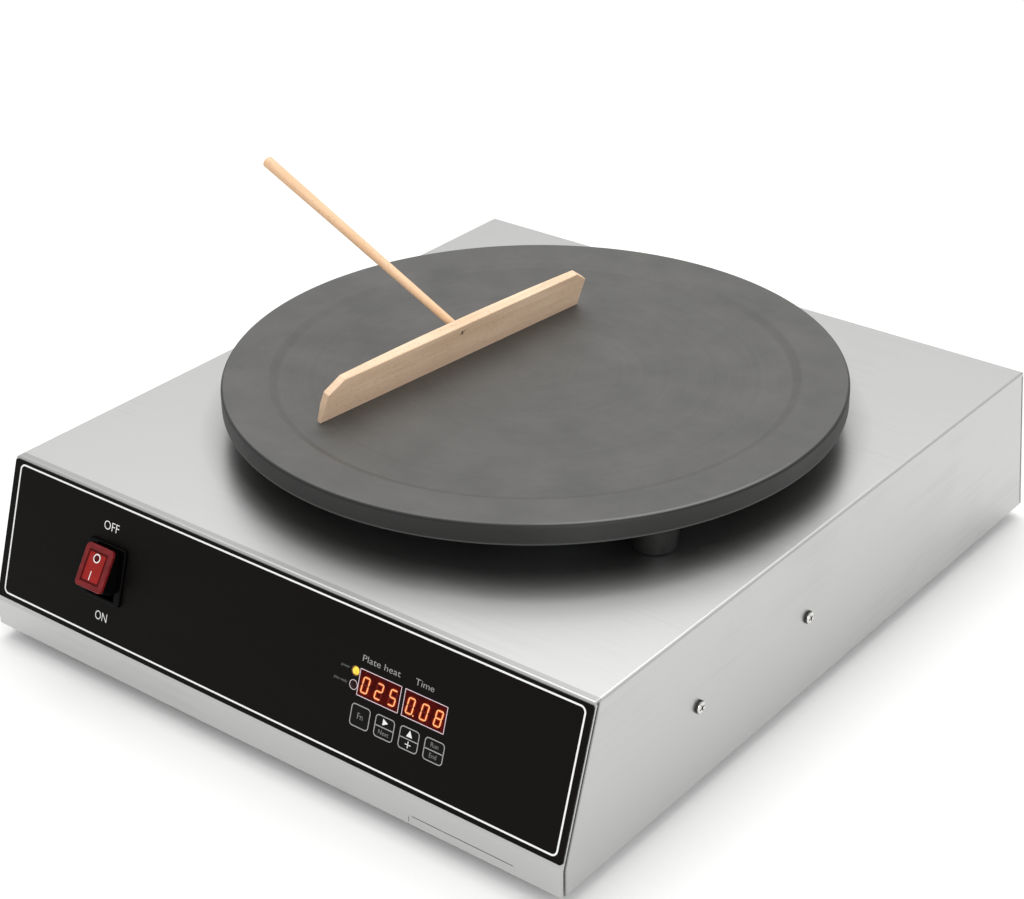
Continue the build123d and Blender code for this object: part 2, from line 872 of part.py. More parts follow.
with BuildPart() as element_bushes:
    with BuildSketch(Plane.XY.offset(top_z)):
        with Locations(*[(place.X, place.Y) for place in terminals]):
            Circle(bush_flange_radius)
    extrude(amount=bush_flange)
    chamfer(element_bushes.edges().group_by(Axis.Z)[-1], length=bush_edge)
    with BuildSketch(Plane.XY.offset(top_z)):
        with Locations(*[(place.X, place.Y) for place in terminals]):
            Circle(bush_radius)
    extrude(amount=-bush_depth)
    with BuildSketch(Plane.XY.offset(top_z)):
        with Locations(*[(place.X, place.Y) for place in terminals]):
            Circle(tube_radius + running_clearance)
    extrude(amount=2 * bush_depth, both=True, mode=Mode.SUBTRACT)
keep(element_bushes, "element_bushes")

with BuildPart() as element_cover:
    with BuildSketch(section_plane) as cover_section:
        with BuildLine():
            Polyline(
                (0, cover_top_z),
                (cover_radius - cover_sheet, cover_top_z),
                (cover_radius - cover_sheet, web_z - element_gap),
                (cover_radius, web_z - element_gap),
                (cover_radius, cover_top_z - cover_sheet),
                (0, cover_top_z - cover_sheet),
                close=True,
            )
        make_face()
        outer_corners = cover_section.vertices().group_by(Axis.X)[-1]
        fillet(outer_corners.sort_by(Axis.Y)[0], radius=cover_round)
    revolve(axis=griddle_axis)
    with BuildSketch(level(cover_top_z)):
        with PolarLocations(cover_boss_circle, leg_count, start_angle=leg_first_angle):
            Circle(cover_bolt_radius + screw_clearance)
        Circle(probe_window_radius)
    extrude(amount=-2 * cover_sheet, mode=Mode.SUBTRACT)
    window_middles = [
        outer_start + outer_heading * cover_window_shift,
        inner_end + inner_heading * cover_window_shift,
    ]
    with BuildSketch(Plane.XY.offset(cover_top_z)):
        with Locations(*[(place.X, place.Y) for place in window_middles]):
            Circle(cover_window_radius)
    extrude(amount=-2 * cover_sheet, mode=Mode.SUBTRACT)
keep(element_cover, "element_cover")

with BuildPart() as cover_bolts:
    cover_bottom_z = cover_top_z - cover_sheet
    with BuildSketch(level(cover_bottom_z)):
        with PolarLocations(cover_boss_circle, leg_count, start_angle=leg_first_angle):
            RegularPolygon(cover_bolt_head_radius, 6)
    extrude(amount=-cover_bolt_head_height)
    with BuildSketch(level(cover_bottom_z)):
        with PolarLocations(cover_boss_circle, leg_count, start_angle=leg_first_angle):
            Circle(cover_bolt_radius)
    extrude(amount=cover_sheet + cover_bolt_depth - cover_bolt_play)
keep(cover_bolts, "cover_bolts")

with BuildPart() as temperature_probe:
    probe_top_z = web_z + probe_pocket_depth - element_gap
    with BuildSketch(level(probe_top_z)):
        Circle(probe_radius)
    extrude(amount=-(probe_top_z - top_z + probe_tail))
    chamfer(temperature_probe.edges().group_by(Axis.Z)[-1], length=probe_edge)
keep(temperature_probe, "temperature_probe")

with BuildPart() as probe_bush:
    with BuildSketch(level(top_z)):
        RegularPolygon(gland_bush_head_radius, 6)
    extrude(amount=gland_bush_head)
    with BuildSketch(level(top_z)):
        Circle(gland_bush_radius)
    extrude(amount=-gland_bush_depth)
    with BuildSketch(level(top_z)):
        Circle(probe_radius + stud_fit)
    extrude(amount=2 * gland_bush_depth, both=True, mode=Mode.SUBTRACT)
keep(probe_bush, "probe_bush")

with BuildPart() as thermal_cutout:
    with BuildSketch(Plane.XY.offset(top_inner_z)):
        with Locations((cutout_x, cutout_y)):
            SlotOverall(cutout_plate_length, cutout_radius)
    extrude(amount=-cutout_plate)
    with BuildSketch(Plane.XY.offset(top_inner_z)):
        with Locations((cutout_x, cutout_y)):
            Circle(cutout_radius)
    extrude(amount=-cutout_height)
    with BuildSketch(Plane.XY.offset(top_inner_z - cutout_height)):
        with Locations((cutout_x, cutout_y)):
            with GridLocations(cutout_radius, 1, 2, 1):
                Rectangle(tab_thickness, tab_width)
    extrude(amount=-tab_length)
keep(thermal_cutout, "thermal_cutout")

# ---------------------------------------------------------------------------
# Control panel, switch, displays and keys
# ---------------------------------------------------------------------------

with BuildPart() as control_panel:
    with BuildSketch(panel_plane):
        with Locations((0, (panel_bottom + panel_top) / 2)):
            RectangleRounded(panel_width, panel_top - panel_bottom, panel_corner)
        with Locations((switch_x, switch_up)):
            Rectangle(
                switch_body_width + 2 * cutout_clearance,
                switch_body_length + 2 * cutout_clearance,
                mode=Mode.SUBTRACT,
            )
        with Locations(*[(x, display_up) for x in display_xs]):
            Rectangle(
                display_width + 2 * display_clearance,
                display_height + 2 * display_clearance,
                mode=Mode.SUBTRACT,
            )
        with Locations(*[(lamp_x, up) for up in lamp_ups]):
            Circle(lamp_radius + display_clearance, mode=Mode.SUBTRACT)
        with Locations(*[(x, key_up) for x in key_xs]):
            RectangleRounded(
                key_width + 2 * key_clearance,
                key_height + 2 * key_clearance,
                key_corner + key_clearance,
                mode=Mode.SUBTRACT,
            )
    extrude(amount=panel_thickness)
keep(control_panel, "control_panel")

with BuildPart() as switch_housing:
    with BuildSketch(panel_plane.offset(panel_thickness)):
        with Locations((switch_x, switch_up)):
            RectangleRounded(bezel_width, bezel_length, bezel_corner)
    extrude(amount=bezel_height)
    bezel_rim = switch_housing.faces().sort_by(Axis(pivot, panel_plane.z_dir))[-1]
    fillet(bezel_rim.edges(), radius=bezel_round)
    with BuildSketch(panel_plane.offset(panel_thickness)):
        with Locations((switch_x, switch_up)):
            Rectangle(switch_body_width, switch_body_length)
    extrude(amount=-(panel_thickness + switch_body_depth))
    with BuildSketch(panel_plane.offset(panel_thickness + bezel_height)):
        with Locations((switch_x, switch_up)):
            Rectangle(opening_width, opening_length)
    extrude(
        amount=-(panel_thickness + bezel_height + switch_cavity_depth),
        mode=Mode.SUBTRACT,
    )
    with BuildSketch(pivot_plane):
        Circle(rocker_pin_radius + stud_fit)
    extrude(amount=switch_body_width, both=True, mode=Mode.SUBTRACT)
keep(switch_housing, "switch_housing")

with BuildPart() as switch_terminals:
    with BuildSketch(panel_plane.offset(-switch_body_depth)):
        with Locations((switch_x, switch_up)):
            with GridLocations(tab_pitch, tab_pitch, 2, 2):
                Rectangle(tab_width, tab_thickness)
    extrude(amount=-tab_length)
keep(switch_terminals, "switch_terminals")

with BuildPart() as rocker:
    block_top = rocker_face_height - rocker_lens_thickness
    with BuildSketch(rocker_plane.offset(rocker_skirt_height)):
        RectangleRounded(rocker_width, rocker_length, rocker_corner)
    extrude(amount=block_top - rocker_skirt_height)
    with BuildSketch(pivot_plane):
        Circle(rocker_barrel_radius)
    extrude(amount=rocker_width / 2, both=True)
    with BuildSketch(pivot_plane):
        Circle(rocker_pin_radius)
    extrude(
        amount=rocker_width / 2 + rocker_side_clearance + rocker_pin_length, both=True
    )
keep(rocker, "rocker")

with BuildPart() as rocker_lens:
    with BuildSketch(rocker_plane.offset(block_top)):
        RectangleRounded(rocker_width, rocker_length, rocker_corner)
    extrude(amount=rocker_lens_thickness)
    lens_face = rocker_lens.faces().sort_by(Axis(pivot, rocker_plane.z_dir))[-1]
    fillet(lens_face.edges(), radius=rocker_lens_edge)
    with BuildSketch(rocker_plane.offset(rocker_face_height)):
        RectangleRounded(lens_inset_width, lens_inset_length, rocker_lens_edge)
    extrude(amount=-lens_inset_depth, mode=Mode.SUBTRACT)
keep(rocker_lens, "rocker_lens")

for display_name, display_x in zip(("temperature_display", "timer_display"), display_xs):
    with BuildPart() as display:
        with BuildSketch(panel_plane.offset(-board_depth)):
            with Locations((display_x, display_up)):
                Rectangle(display_width, display_height)
        extrude(amount=board_depth + panel_thickness - display_sunk)
    keep(display, display_name)

for lamp_name, lamp_up in zip(("heat_lamp", "keep_warm_lamp"), lamp_ups):
    with BuildPart() as lamp:
        with BuildSketch(panel_plane.offset(-board_depth)):
            with Locations((lamp_x, lamp_up)):
                Circle(lamp_base_radius)
        extrude(amount=lamp_base_height)
        with BuildSketch(panel_plane.offset(-board_depth)):
            with Locations((lamp_x, lamp_up)):
                Circle(lamp_radius)
        extrude(amount=board_depth + panel_thickness + lamp_proud)
        lamp_tip = lamp.faces().sort_by(Axis(pivot, panel_plane.z_dir))[-1]
        fillet(lamp_tip.edges(), radius=lamp_round)
    keep(lamp, lamp_name)

for key_name, key_x in zip(key_names, key_xs):
    with BuildPart() as key:
        with BuildSketch(panel_plane.offset(-key_gap)):
            with Locations((key_x, key_up)):
                RectangleRounded(key_width, key_height, key_corner)
        extrude(amount=key_gap + panel_thickness + key_proud)
        with BuildSketch(panel_plane.offset(-key_gap)):
            with Locations((key_x, key_up)):
                RectangleRounded(
                    key_width + 2 * key_flange, key_height + 2 * key_flange, key_corner
                )
        extrude(amount=-key_flange_thickness)
        with BuildSketch(panel_plane.offset(-key_gap)):
            with Locations((key_x, key_up)):
                Circle(key_stem_radius)
        extrude(amount=-(board_depth - tact_height - key_travel - 2 * key_gap))
    keep(key, key_name)

with BuildPart() as key_switches:
    with BuildSketch(panel_plane.offset(-board_depth)):
        with Locations(*[(x, key_up) for x in key_xs]):
            Rectangle(tact_side, tact_side)
    extrude(amount=tact_height)
keep(key_switches, "key_switches")

with BuildPart() as control_board:
    with BuildSketch(panel_plane.offset(-board_depth)):
        with Locations((window_x, window_up)):
            Rectangle(board_width, board_height)
            with GridLocations(
                board_width - 2 * board_margin, board_height - 2 * board_margin, 2, 2
            ):
                Circle(standoff_radius / 2, mode=Mode.SUBTRACT)
    extrude(amount=-board_thickness)
keep(control_board, "control_board")

with BuildPart() as board_standoffs:
    with BuildSketch(panel_plane.offset(-sheet)):
        with Locations((window_x, window_up)):
            with GridLocations(
                board_width - 2 * board_margin, board_height - 2 * board_margin, 2, 2
            ):
                Circle(standoff_radius)
    extrude(amount=-(board_depth - sheet))
keep(board_standoffs, "board_standoffs")

# ---------------------------------------------------------------------------
# Power electronics
# ---------------------------------------------------------------------------

with BuildPart() as power_board:
    with BuildSketch(Plane.XY.offset(power_board_z)):
        with Locations((power_board_x, power_board_y)):
            Rectangle(power_board_width, power_board_depth)
            with GridLocations(
                power_board_width - 2 * board_margin,
                power_board_depth - 2 * board_margin,
                2,
                2,
            ):
                Circle(power_spacer_radius / 2, mode=Mode.SUBTRACT)
    extrude(amount=board_thickness)
keep(power_board, "power_board")

with BuildPart() as board_spacers:
    with BuildSketch(Plane.XY.offset(housing_z)):
        with Locations((power_board_x, power_board_y)):
            with GridLocations(
                power_board_width - 2 * board_margin,
                power_board_depth - 2 * board_margin,
                2,
                2,
            ):
                Circle(power_spacer_radius)
    extrude(amount=power_spacer_height)
keep(board_spacers, "board_spacers")

transformer_x = power_board_x + (power_board_width - transformer_width) / 2 - board_margin
transformer_y = power_board_y - power_board_depth / 2 + transformer_depth
with BuildPart() as transformer:
    with BuildSketch(Plane.XY.offset(power_top_z)):
        with Locations((transformer_x, transformer_y)):
            Rectangle(transformer_width, transformer_depth / 2)
    extrude(amount=transformer_core_height)
    with BuildSketch(Plane.XY.offset(power_top_z)):
        with Locations((transformer_x, transformer_y)):
            RectangleRounded(winding_width, transformer_depth, winding_corner)
    extrude(amount=transformer_winding_height)
keep(transformer, "transformer")

relay_x = power_board_x + power_board_width / 2 - relay_width
relay_y = power_board_y + power_board_depth / 2 - 2 * relay_depth
with BuildPart() as relay:
    with BuildSketch(Plane.XY.offset(power_top_z)):
        with Locations((relay_x, relay_y)):
            Rectangle(relay_width, relay_depth)
    extrude(amount=relay_height)
    fillet(relay.edges().filter_by(Axis.Z), radius=relay_corner)
keep(relay, "relay")

sink_x = power_board_x
sink_y = power_board_y
with BuildPart() as heat_sink:
    with BuildSketch(Plane.XY.offset(power_top_z)):
        with Locations((sink_x, sink_y + (sink_depth - sink_back_thickness) / 2)):
            Rectangle(sink_width, sink_back_thickness)
        fin_pitch = (sink_width - sink_fin_thickness) / (sink_fins - 1)
        with Locations((sink_x, sink_y)):
            with GridLocations(fin_pitch, 1, sink_fins, 1):
                Rectangle(sink_fin_thickness, sink_depth)
    extrude(amount=sink_height)
keep(heat_sink, "heat_sink")

with BuildPart() as triac:
    triac_y = sink_y + sink_depth / 2
    with BuildSketch(Plane.XZ.offset(-triac_y)):
        with Locations((sink_x, power_top_z + sink_height / 2)):
            Rectangle(triac_width, triac_height)
    extrude(amount=-triac_thickness)
    with BuildSketch(Plane.XZ.offset(-(triac_y + triac_thickness / 2))):
        with Locations((sink_x, power_top_z + sink_height / 4 - triac_height / 4)):
            with GridLocations(triac_width / 3, 1, 3, 1):
                Rectangle(triac_leg_width, (sink_height - triac_height) / 2)
    extrude(amount=-triac_leg_thickness)
keep(triac, "triac")

heater_block_place = (outer_drop + inner_drop) / 2
with BuildPart() as heater_terminals:
    with BuildSketch(Plane.XY.offset(power_top_z)):
        with Locations((heater_block_place.X, heater_block_place.Y)):
            Rectangle(block_depth, 2 * (block_pole_pitch + block_end_wall))
    extrude(amount=block_height)
    with BuildSketch(Plane.XY.offset(power_top_z + block_height)):
        with Locations((heater_block_place.X, heater_block_place.Y)):
            with GridLocations(1, block_pole_pitch, 1, 2):
                Circle(block_screw_radius)
    extrude(amount=-block_screw_recess, mode=Mode.SUBTRACT)
keep(heater_terminals, "heater_terminals")

input_block_x = power_board_x + input_block_shift
mains_block_y = back_y - mains_block_inset
input_block_y = power_board_y + power_board_depth / 2 - block_depth / 2
with BuildPart() as mains_terminals:
    for block_y, block_base in (
        (mains_block_y, housing_z),
        (input_block_y, power_top_z),
    ):
        with BuildSketch(Plane.XY.offset(block_base)):
            with Locations((input_block_x, block_y)):
                Rectangle(3 * block_pole_pitch + 2 * block_end_wall, block_depth)
        extrude(amount=block_height)
        with BuildSketch(Plane.XY.offset(block_base + block_height)):
            with Locations((input_block_x, block_y)):
                with GridLocations(block_pole_pitch, 1, 3, 1):
                    Circle(block_screw_radius)
        extrude(amount=-block_screw_recess, mode=Mode.SUBTRACT)
keep(mains_terminals, "mains_terminals")

with BuildPart() as cable_gland:
    with BuildSketch(back_plane):
        with Locations((-gland_x, gland_up)):
            RegularPolygon(gland_hex_radius, 6)
    extrude(amount=gland_hex_height)
    with BuildSketch(back_plane.offset(gland_hex_height)):
        with Locations((-gland_x, gland_up)):
            Circle(gland_cap_radius)
    extrude(amount=gland_cap_height)
    cap_face = cable_gland.faces().sort_by(Axis(back_plane.origin, back_plane.z_dir))[-1]
    chamfer(cap_face.edges(), length=gland_cap_edge)
    with BuildSketch(back_plane):
        with Locations((-gland_x, gland_up)):
            Circle(gland_thread_radius)
    extrude(amount=-gland_thread_length)
    with BuildSketch(back_plane):
        with Locations((-gland_x, gland_up)):
            Circle(gland_bore_radius)
    extrude(
        amount=2 * (gland_hex_height + gland_cap_height), both=True, mode=Mode.SUBTRACT
    )
keep(cable_gland, "cable_gland")

with BuildPart() as gland_locknut:
    with BuildSketch(back_plane.offset(-sheet)):
        with Locations((-gland_x, gland_up)):
            RegularPolygon(gland_nut_radius, 6)
            Circle(gland_thread_radius + stud_fit, mode=Mode.SUBTRACT)
    extrude(amount=-gland_nut_height)
keep(gland_locknut, "gland_locknut")


def lay_lead(points):
    """Round lead along straight runs joined by arcs."""
    with BuildLine() as route:
        FilletPolyline(*points, radius=lead_bend)
    with BuildSketch(Plane(origin=route.line @ 0, z_dir=route.line % 0)) as section:
        Circle(lead_radius)
    sweep(section.sketch, path=route.line)


with BuildPart() as element_leads:
    block_top_z = power_top_z + block_height
    for place, step in zip(terminals, (-1, 1)):
        entry_y = heater_block_place.Y + step * block_pole_pitch / 2
        lay_lead(
            [
                (place.X, place.Y, pin_end_z - lead_end_gap),
                (place.X, place.Y, pin_end_z - 2 * lead_bend),
                (heater_block_place.X, entry_y, block_top_z + 2 * lead_bend),
                (heater_block_place.X, entry_y, block_top_z + lead_end_gap),
            ]
        )
keep(element_leads, "element_leads")

with BuildPart() as mains_leads:
    for pole in (-1, 0, 1):
        lead_x = input_block_x + pole * block_pole_pitch
        back_end = mains_block_y - block_depth / 2 - lead_end_gap
        front_end = input_block_y + block_depth / 2 + lead_end_gap
        low_z = housing_z + lead_radius + lead_floor_gap
        lay_lead(
            [
                (lead_x, back_end, housing_z + block_height / 2),
                (lead_x, back_end - 3 * lead_bend, housing_z + block_height / 2),
                (lead_x, back_end - 7 * lead_bend, low_z),
                (lead_x, front_end + 7 * lead_bend, low_z),
                (lead_x, front_end + 3 * lead_bend, power_top_z + block_height / 2),
                (lead_x, front_end, power_top_z + block_height / 2),
            ]
        )
keep(mains_leads, "mains_leads")

# ---------------------------------------------------------------------------
# Wooden spreader
# ---------------------------------------------------------------------------

turn = radians(blade_turn)
lean = radians(blade_lean)
blade_plane = Plane(
    origin=(blade_x, blade_y, griddle_floor_z + blade_rest_gap),
    x_dir=(cos(turn), sin(turn), 0),
    z_dir=(sin(turn) * cos(lean), -cos(turn) * cos(lean), -sin(lean)),
)

# Seen from above, the blade's back bows from the middle to the ends.
blade_plan = Plane(
    origin=blade_plane.origin, x_dir=blade_plane.x_dir, z_dir=blade_plane.y_dir
)
# Seen along its length, the blade is a wedge with its thin edge at the bottom.
blade_section = Plane(
    origin=blade_plane.origin, x_dir=blade_plane.z_dir, z_dir=-blade_plane.x_dir
)

with BuildPart() as spreader_blade:
    half_length = blade_length / 2
    shoulder = half_length - blade_end_slope
    board_back = 3 * blade_thickness
    above_blade = blade_height + blade_trim
    with BuildSketch(blade_plane):
        with BuildLine():
            Polyline(
                (-half_length, 0),
                (half_length, 0),
                (shoulder, blade_height - blade_chamfer_height),
                (shoulder - blade_chamfer_width, blade_height),
                (blade_chamfer_width - shoulder, blade_height),
                (-shoulder, blade_height - blade_chamfer_height),
                close=True,
            )
        make_face()
    extrude(amount=-2 * blade_thickness)
    with BuildSketch(blade_plan.offset(-blade_trim)):
        with BuildLine():
            ThreePointArc(
                (half_length, blade_end_thickness),
                (0, blade_thickness),
                (-half_length, blade_end_thickness),
            )
            Polyline(
                (-half_length, blade_end_thickness),
                (-half_length - blade_trim, blade_end_thickness),
                (-half_length - blade_trim, board_back),
                (half_length + blade_trim, board_back),
                (half_length + blade_trim, blade_end_thickness),
                (half_length, blade_end_thickness),
            )
        make_face()
    extrude(amount=above_blade + blade_trim, mode=Mode.SUBTRACT)
    wedge_slope = (blade_thickness - blade_foot_thickness) / (blade_height - blade_band)
    with BuildSketch(blade_section):
        with BuildLine():
            Polyline(
                (wedge_slope * blade_trim - blade_foot_thickness, -blade_trim),
                (-wedge_slope * above_blade - blade_foot_thickness, above_blade),
                (-board_back, above_blade),
                (-board_back, -blade_trim),
                close=True,
            )
        make_face()
    extrude(amount=blade_length, both=True, mode=Mode.SUBTRACT)
    fillet(spreader_blade.edges(), radius=blade_edge_round)
    with BuildSketch(blade_plane.offset(-tenon_cover)):
        with Locations((handle_along, handle_up)):
            Circle(handle_tenon_radius + tenon_fit)
    extrude(amount=-blade_thickness, mode=Mode.SUBTRACT)
    with BuildSketch(blade_plane):
        with Locations((handle_along, handle_up)):
            Circle(nail_radius)
    extrude(amount=-tenon_cover, mode=Mode.SUBTRACT)
keep(spreader_blade, "spreader_blade")

with BuildPart() as spreader_handle:
    with BuildSketch(blade_plane.offset(-tenon_cover)):
        with Locations((handle_along, handle_up)):
            Circle(handle_tenon_radius)
    extrude(amount=-(blade_thickness - tenon_cover))
    with BuildSketch(blade_plane.offset(-blade_thickness)):
        with Locations((handle_along, handle_up)):
            Circle(handle_neck_radius)
    with BuildSketch(blade_plane.offset(-blade_thickness - handle_length)):
        with Locations((handle_along, handle_up)):
            Circle(handle_radius)
    loft()
    along_grip = Axis(blade_plane.origin, blade_plane.z_dir)
    grip_end = spreader_handle.faces().sort_by(along_grip)[0]
    fillet(grip_end.edges(), radius=handle_end_round)
keep(spreader_handle, "spreader_handle")

with BuildPart() as spreader_pin:
    with BuildSketch(blade_plane):
        with Locations((handle_along, handle_up)):
            Circle(nail_radius)
    extrude(amount=-tenon_cover)
keep(spreader_pin, "spreader_pin")
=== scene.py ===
"""Electric crepe maker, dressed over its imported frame.

Metres, +Z up, the control panel faces -Y.  Every sub-assembly is a class that
holds its sizes in millimetres, builds the pieces that the frame doesn't carry
and gives each carried-over node its finish.
"""

import json
import logging
import math
from dataclasses import dataclass, field
from enum import Enum
from typing import Any, Iterable, Sequence

import bmesh
import bpy
from mathutils import Matrix, Vector

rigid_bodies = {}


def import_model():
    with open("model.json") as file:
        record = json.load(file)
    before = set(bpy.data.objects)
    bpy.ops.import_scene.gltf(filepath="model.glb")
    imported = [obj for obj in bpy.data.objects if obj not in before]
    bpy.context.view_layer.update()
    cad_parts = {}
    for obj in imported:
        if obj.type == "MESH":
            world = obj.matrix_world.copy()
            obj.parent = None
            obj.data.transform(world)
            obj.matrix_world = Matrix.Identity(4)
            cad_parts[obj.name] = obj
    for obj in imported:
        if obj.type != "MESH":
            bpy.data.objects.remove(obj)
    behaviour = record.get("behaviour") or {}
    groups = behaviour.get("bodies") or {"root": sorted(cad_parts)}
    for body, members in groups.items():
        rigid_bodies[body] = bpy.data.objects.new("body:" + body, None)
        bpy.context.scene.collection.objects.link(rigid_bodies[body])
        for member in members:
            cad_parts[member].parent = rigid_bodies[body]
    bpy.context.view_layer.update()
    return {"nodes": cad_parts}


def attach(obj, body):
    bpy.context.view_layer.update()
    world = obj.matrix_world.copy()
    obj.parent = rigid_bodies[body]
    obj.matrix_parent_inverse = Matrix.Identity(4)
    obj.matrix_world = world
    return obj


MM = 0.001
log = logging.getLogger("crepe_maker")

for leftover in list(bpy.data.objects):
    bpy.data.objects.remove(leftover)
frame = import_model()

Point = tuple[float, float]
Triple = tuple[float, float, float]
Colour = tuple[float, float, float, float]
Source = bpy.types.Node | bpy.types.NodeSocket


# ---------------------------------------------------------------------------
# Shader helpers
# ---------------------------------------------------------------------------


def linear(hex_colour: str) -> Colour:
    """Turn an sRGB hex colour into the linear values that shaders take.

    Args:
        hex_colour: A colour such as "#C8C8C5".

    Returns:
        Linear red, green and blue with an alpha of 1.
    """
    parts = [int(hex_colour[start : start + 2], 16) / 255 for start in (1, 3, 5)]
    red, green, blue = (
        part / 12.92 if part <= 0.04045 else ((part + 0.055) / 1.055) ** 2.4
        for part in parts
    )
    return red, green, blue, 1.0


def add_node(
    tree: bpy.types.NodeTree,
    kind: str,
    settings: dict[Any, Any] | None = None,
    links: dict[Any, Source] | None = None,
) -> bpy.types.Node:
    """Add one shader node with its settings and links.

    Args:
        tree: The node tree that gets the node.
        kind: Blender's name for the node, without its "ShaderNode".
        settings: Values by attribute name, input name or input number.
        links: What feeds each input, by the input's name or number: a socket, or
            a node for its first output.

    Returns:
        The new node.
    """
    node = tree.nodes.new(f"ShaderNode{kind}")
    for key, value in (settings or {}).items():
        if isinstance(key, str) and hasattr(node, key):
            setattr(node, key, value)
        else:
            node.inputs[key].default_value = value
    for key, source in (links or {}).items():
        socket = source.outputs[0] if isinstance(source, bpy.types.Node) else source
        tree.links.new(socket, node.inputs[key])
    return node


@dataclass(frozen=True)
class Surface:
    """A surface that a finish paints, and what its pattern can read.

    Attributes:
        tree: The material's node tree.
        shader: The principled shader.
        place: Position in the row frame, in millimetres.
        facing: Surface normal in the row frame.
    """

    tree: bpy.types.NodeTree
    shader: bpy.types.Node
    place: bpy.types.NodeSocket
    facing: bpy.types.NodeSocket

    def add(
        self,
        kind: str,
        settings: dict[Any, Any] | None = None,
        links: dict[Any, Source] | None = None,
    ) -> bpy.types.Node:
        """Add one node to the surface's own tree, as add_node does."""
        return add_node(self.tree, kind, settings, links)

    def feed(self, name: str, socket: bpy.types.NodeSocket) -> None:
        """Let a socket feed the shader's input of that name."""
        self.tree.links.new(socket, self.shader.inputs[name])

    def painted(self) -> bpy.types.NodeSocket:
        """Return the colour that is painted so far."""
        return self.shader.inputs["Base Color"].links[0].from_socket


@dataclass(frozen=True)
class Finish:
    """A finish of the real object: what it is made of and how light meets it.

    Attributes:
        label: The material's name, after the real finish.
        colour: Main sRGB colour.
        shade: Second sRGB colour, for the low or dark places of the pattern.
        roughness: Mean roughness.
        spread: How far roughness strays from its mean across the pattern.
        metallic: 1 for bare metal.
        specular: Specular level; 0.5 is a plain dielectric.
        relief_mm: Height of the surface texture.
    """

    label: str
    colour: str
    shade: str
    roughness: float
    spread: float = 0.05
    metallic: float = 0.0
    specular: float = 0.5
    relief_mm: float = 0.01

    def material(self) -> bpy.types.Material:
        """Give the finish's material, making it on first use.

        Returns:
            The material.
        """
        made = bpy.data.materials.get(self.label)
        if made is not None:
            return made
        made = bpy.data.materials.new(self.label)
        made.diffuse_color = linear(self.colour)
        made.use_nodes = True
        tree = made.node_tree
        tree.nodes.clear()
        shader = add_node(
            tree,
            "BsdfPrincipled",
            {"Metallic": self.metallic, "Specular IOR Level": self.specular},
        )
        add_node(tree, "OutputMaterial", links={"Surface": shader})
        source = add_node(tree, "TexCoord")
        place = add_node(
            tree,
            "VectorMath",
            {"operation": "SCALE", "Scale": 1 / MM},
            {0: source.outputs["Object"]},
        )
        self.pattern(Surface(tree, shader, place.outputs[0], source.outputs["Normal"]))
        return made

    def pattern(self, surface: Surface) -> None:
        """Paint the finish's pattern; each finish has its own."""
        raise NotImplementedError

    def blend(self, surface: Surface, mottle: Source, relief: Source) -> None:
        """Turn a mottle and a relief, both 0 to 1, into colour, gloss and bump.

        Args:
            surface: The surface that is painted.
            mottle: 0 gives the shade and 1 the main colour.
            relief: 0 is low and 1 is high.
        """
        colour = surface.add(
            "Mix",
            {"data_type": "RGBA", 6: linear(self.shade), 7: linear(self.colour)},
            {0: mottle},
        )
        gloss = surface.add(
            "MapRange",
            {3: self.roughness + self.spread, 4: self.roughness - self.spread},
            {0: mottle},
        )
        bump = surface.add(
            "Bump",
            {"Strength": 1.0, "Distance": self.relief_mm * MM},
            {"Height": relief},
        )
        surface.feed("Base Color", colour.outputs[2])
        surface.feed("Roughness", gloss.outputs[0])
        surface.feed("Normal", bump.outputs[0])


# ---------------------------------------------------------------------------
# Finishes
# ---------------------------------------------------------------------------


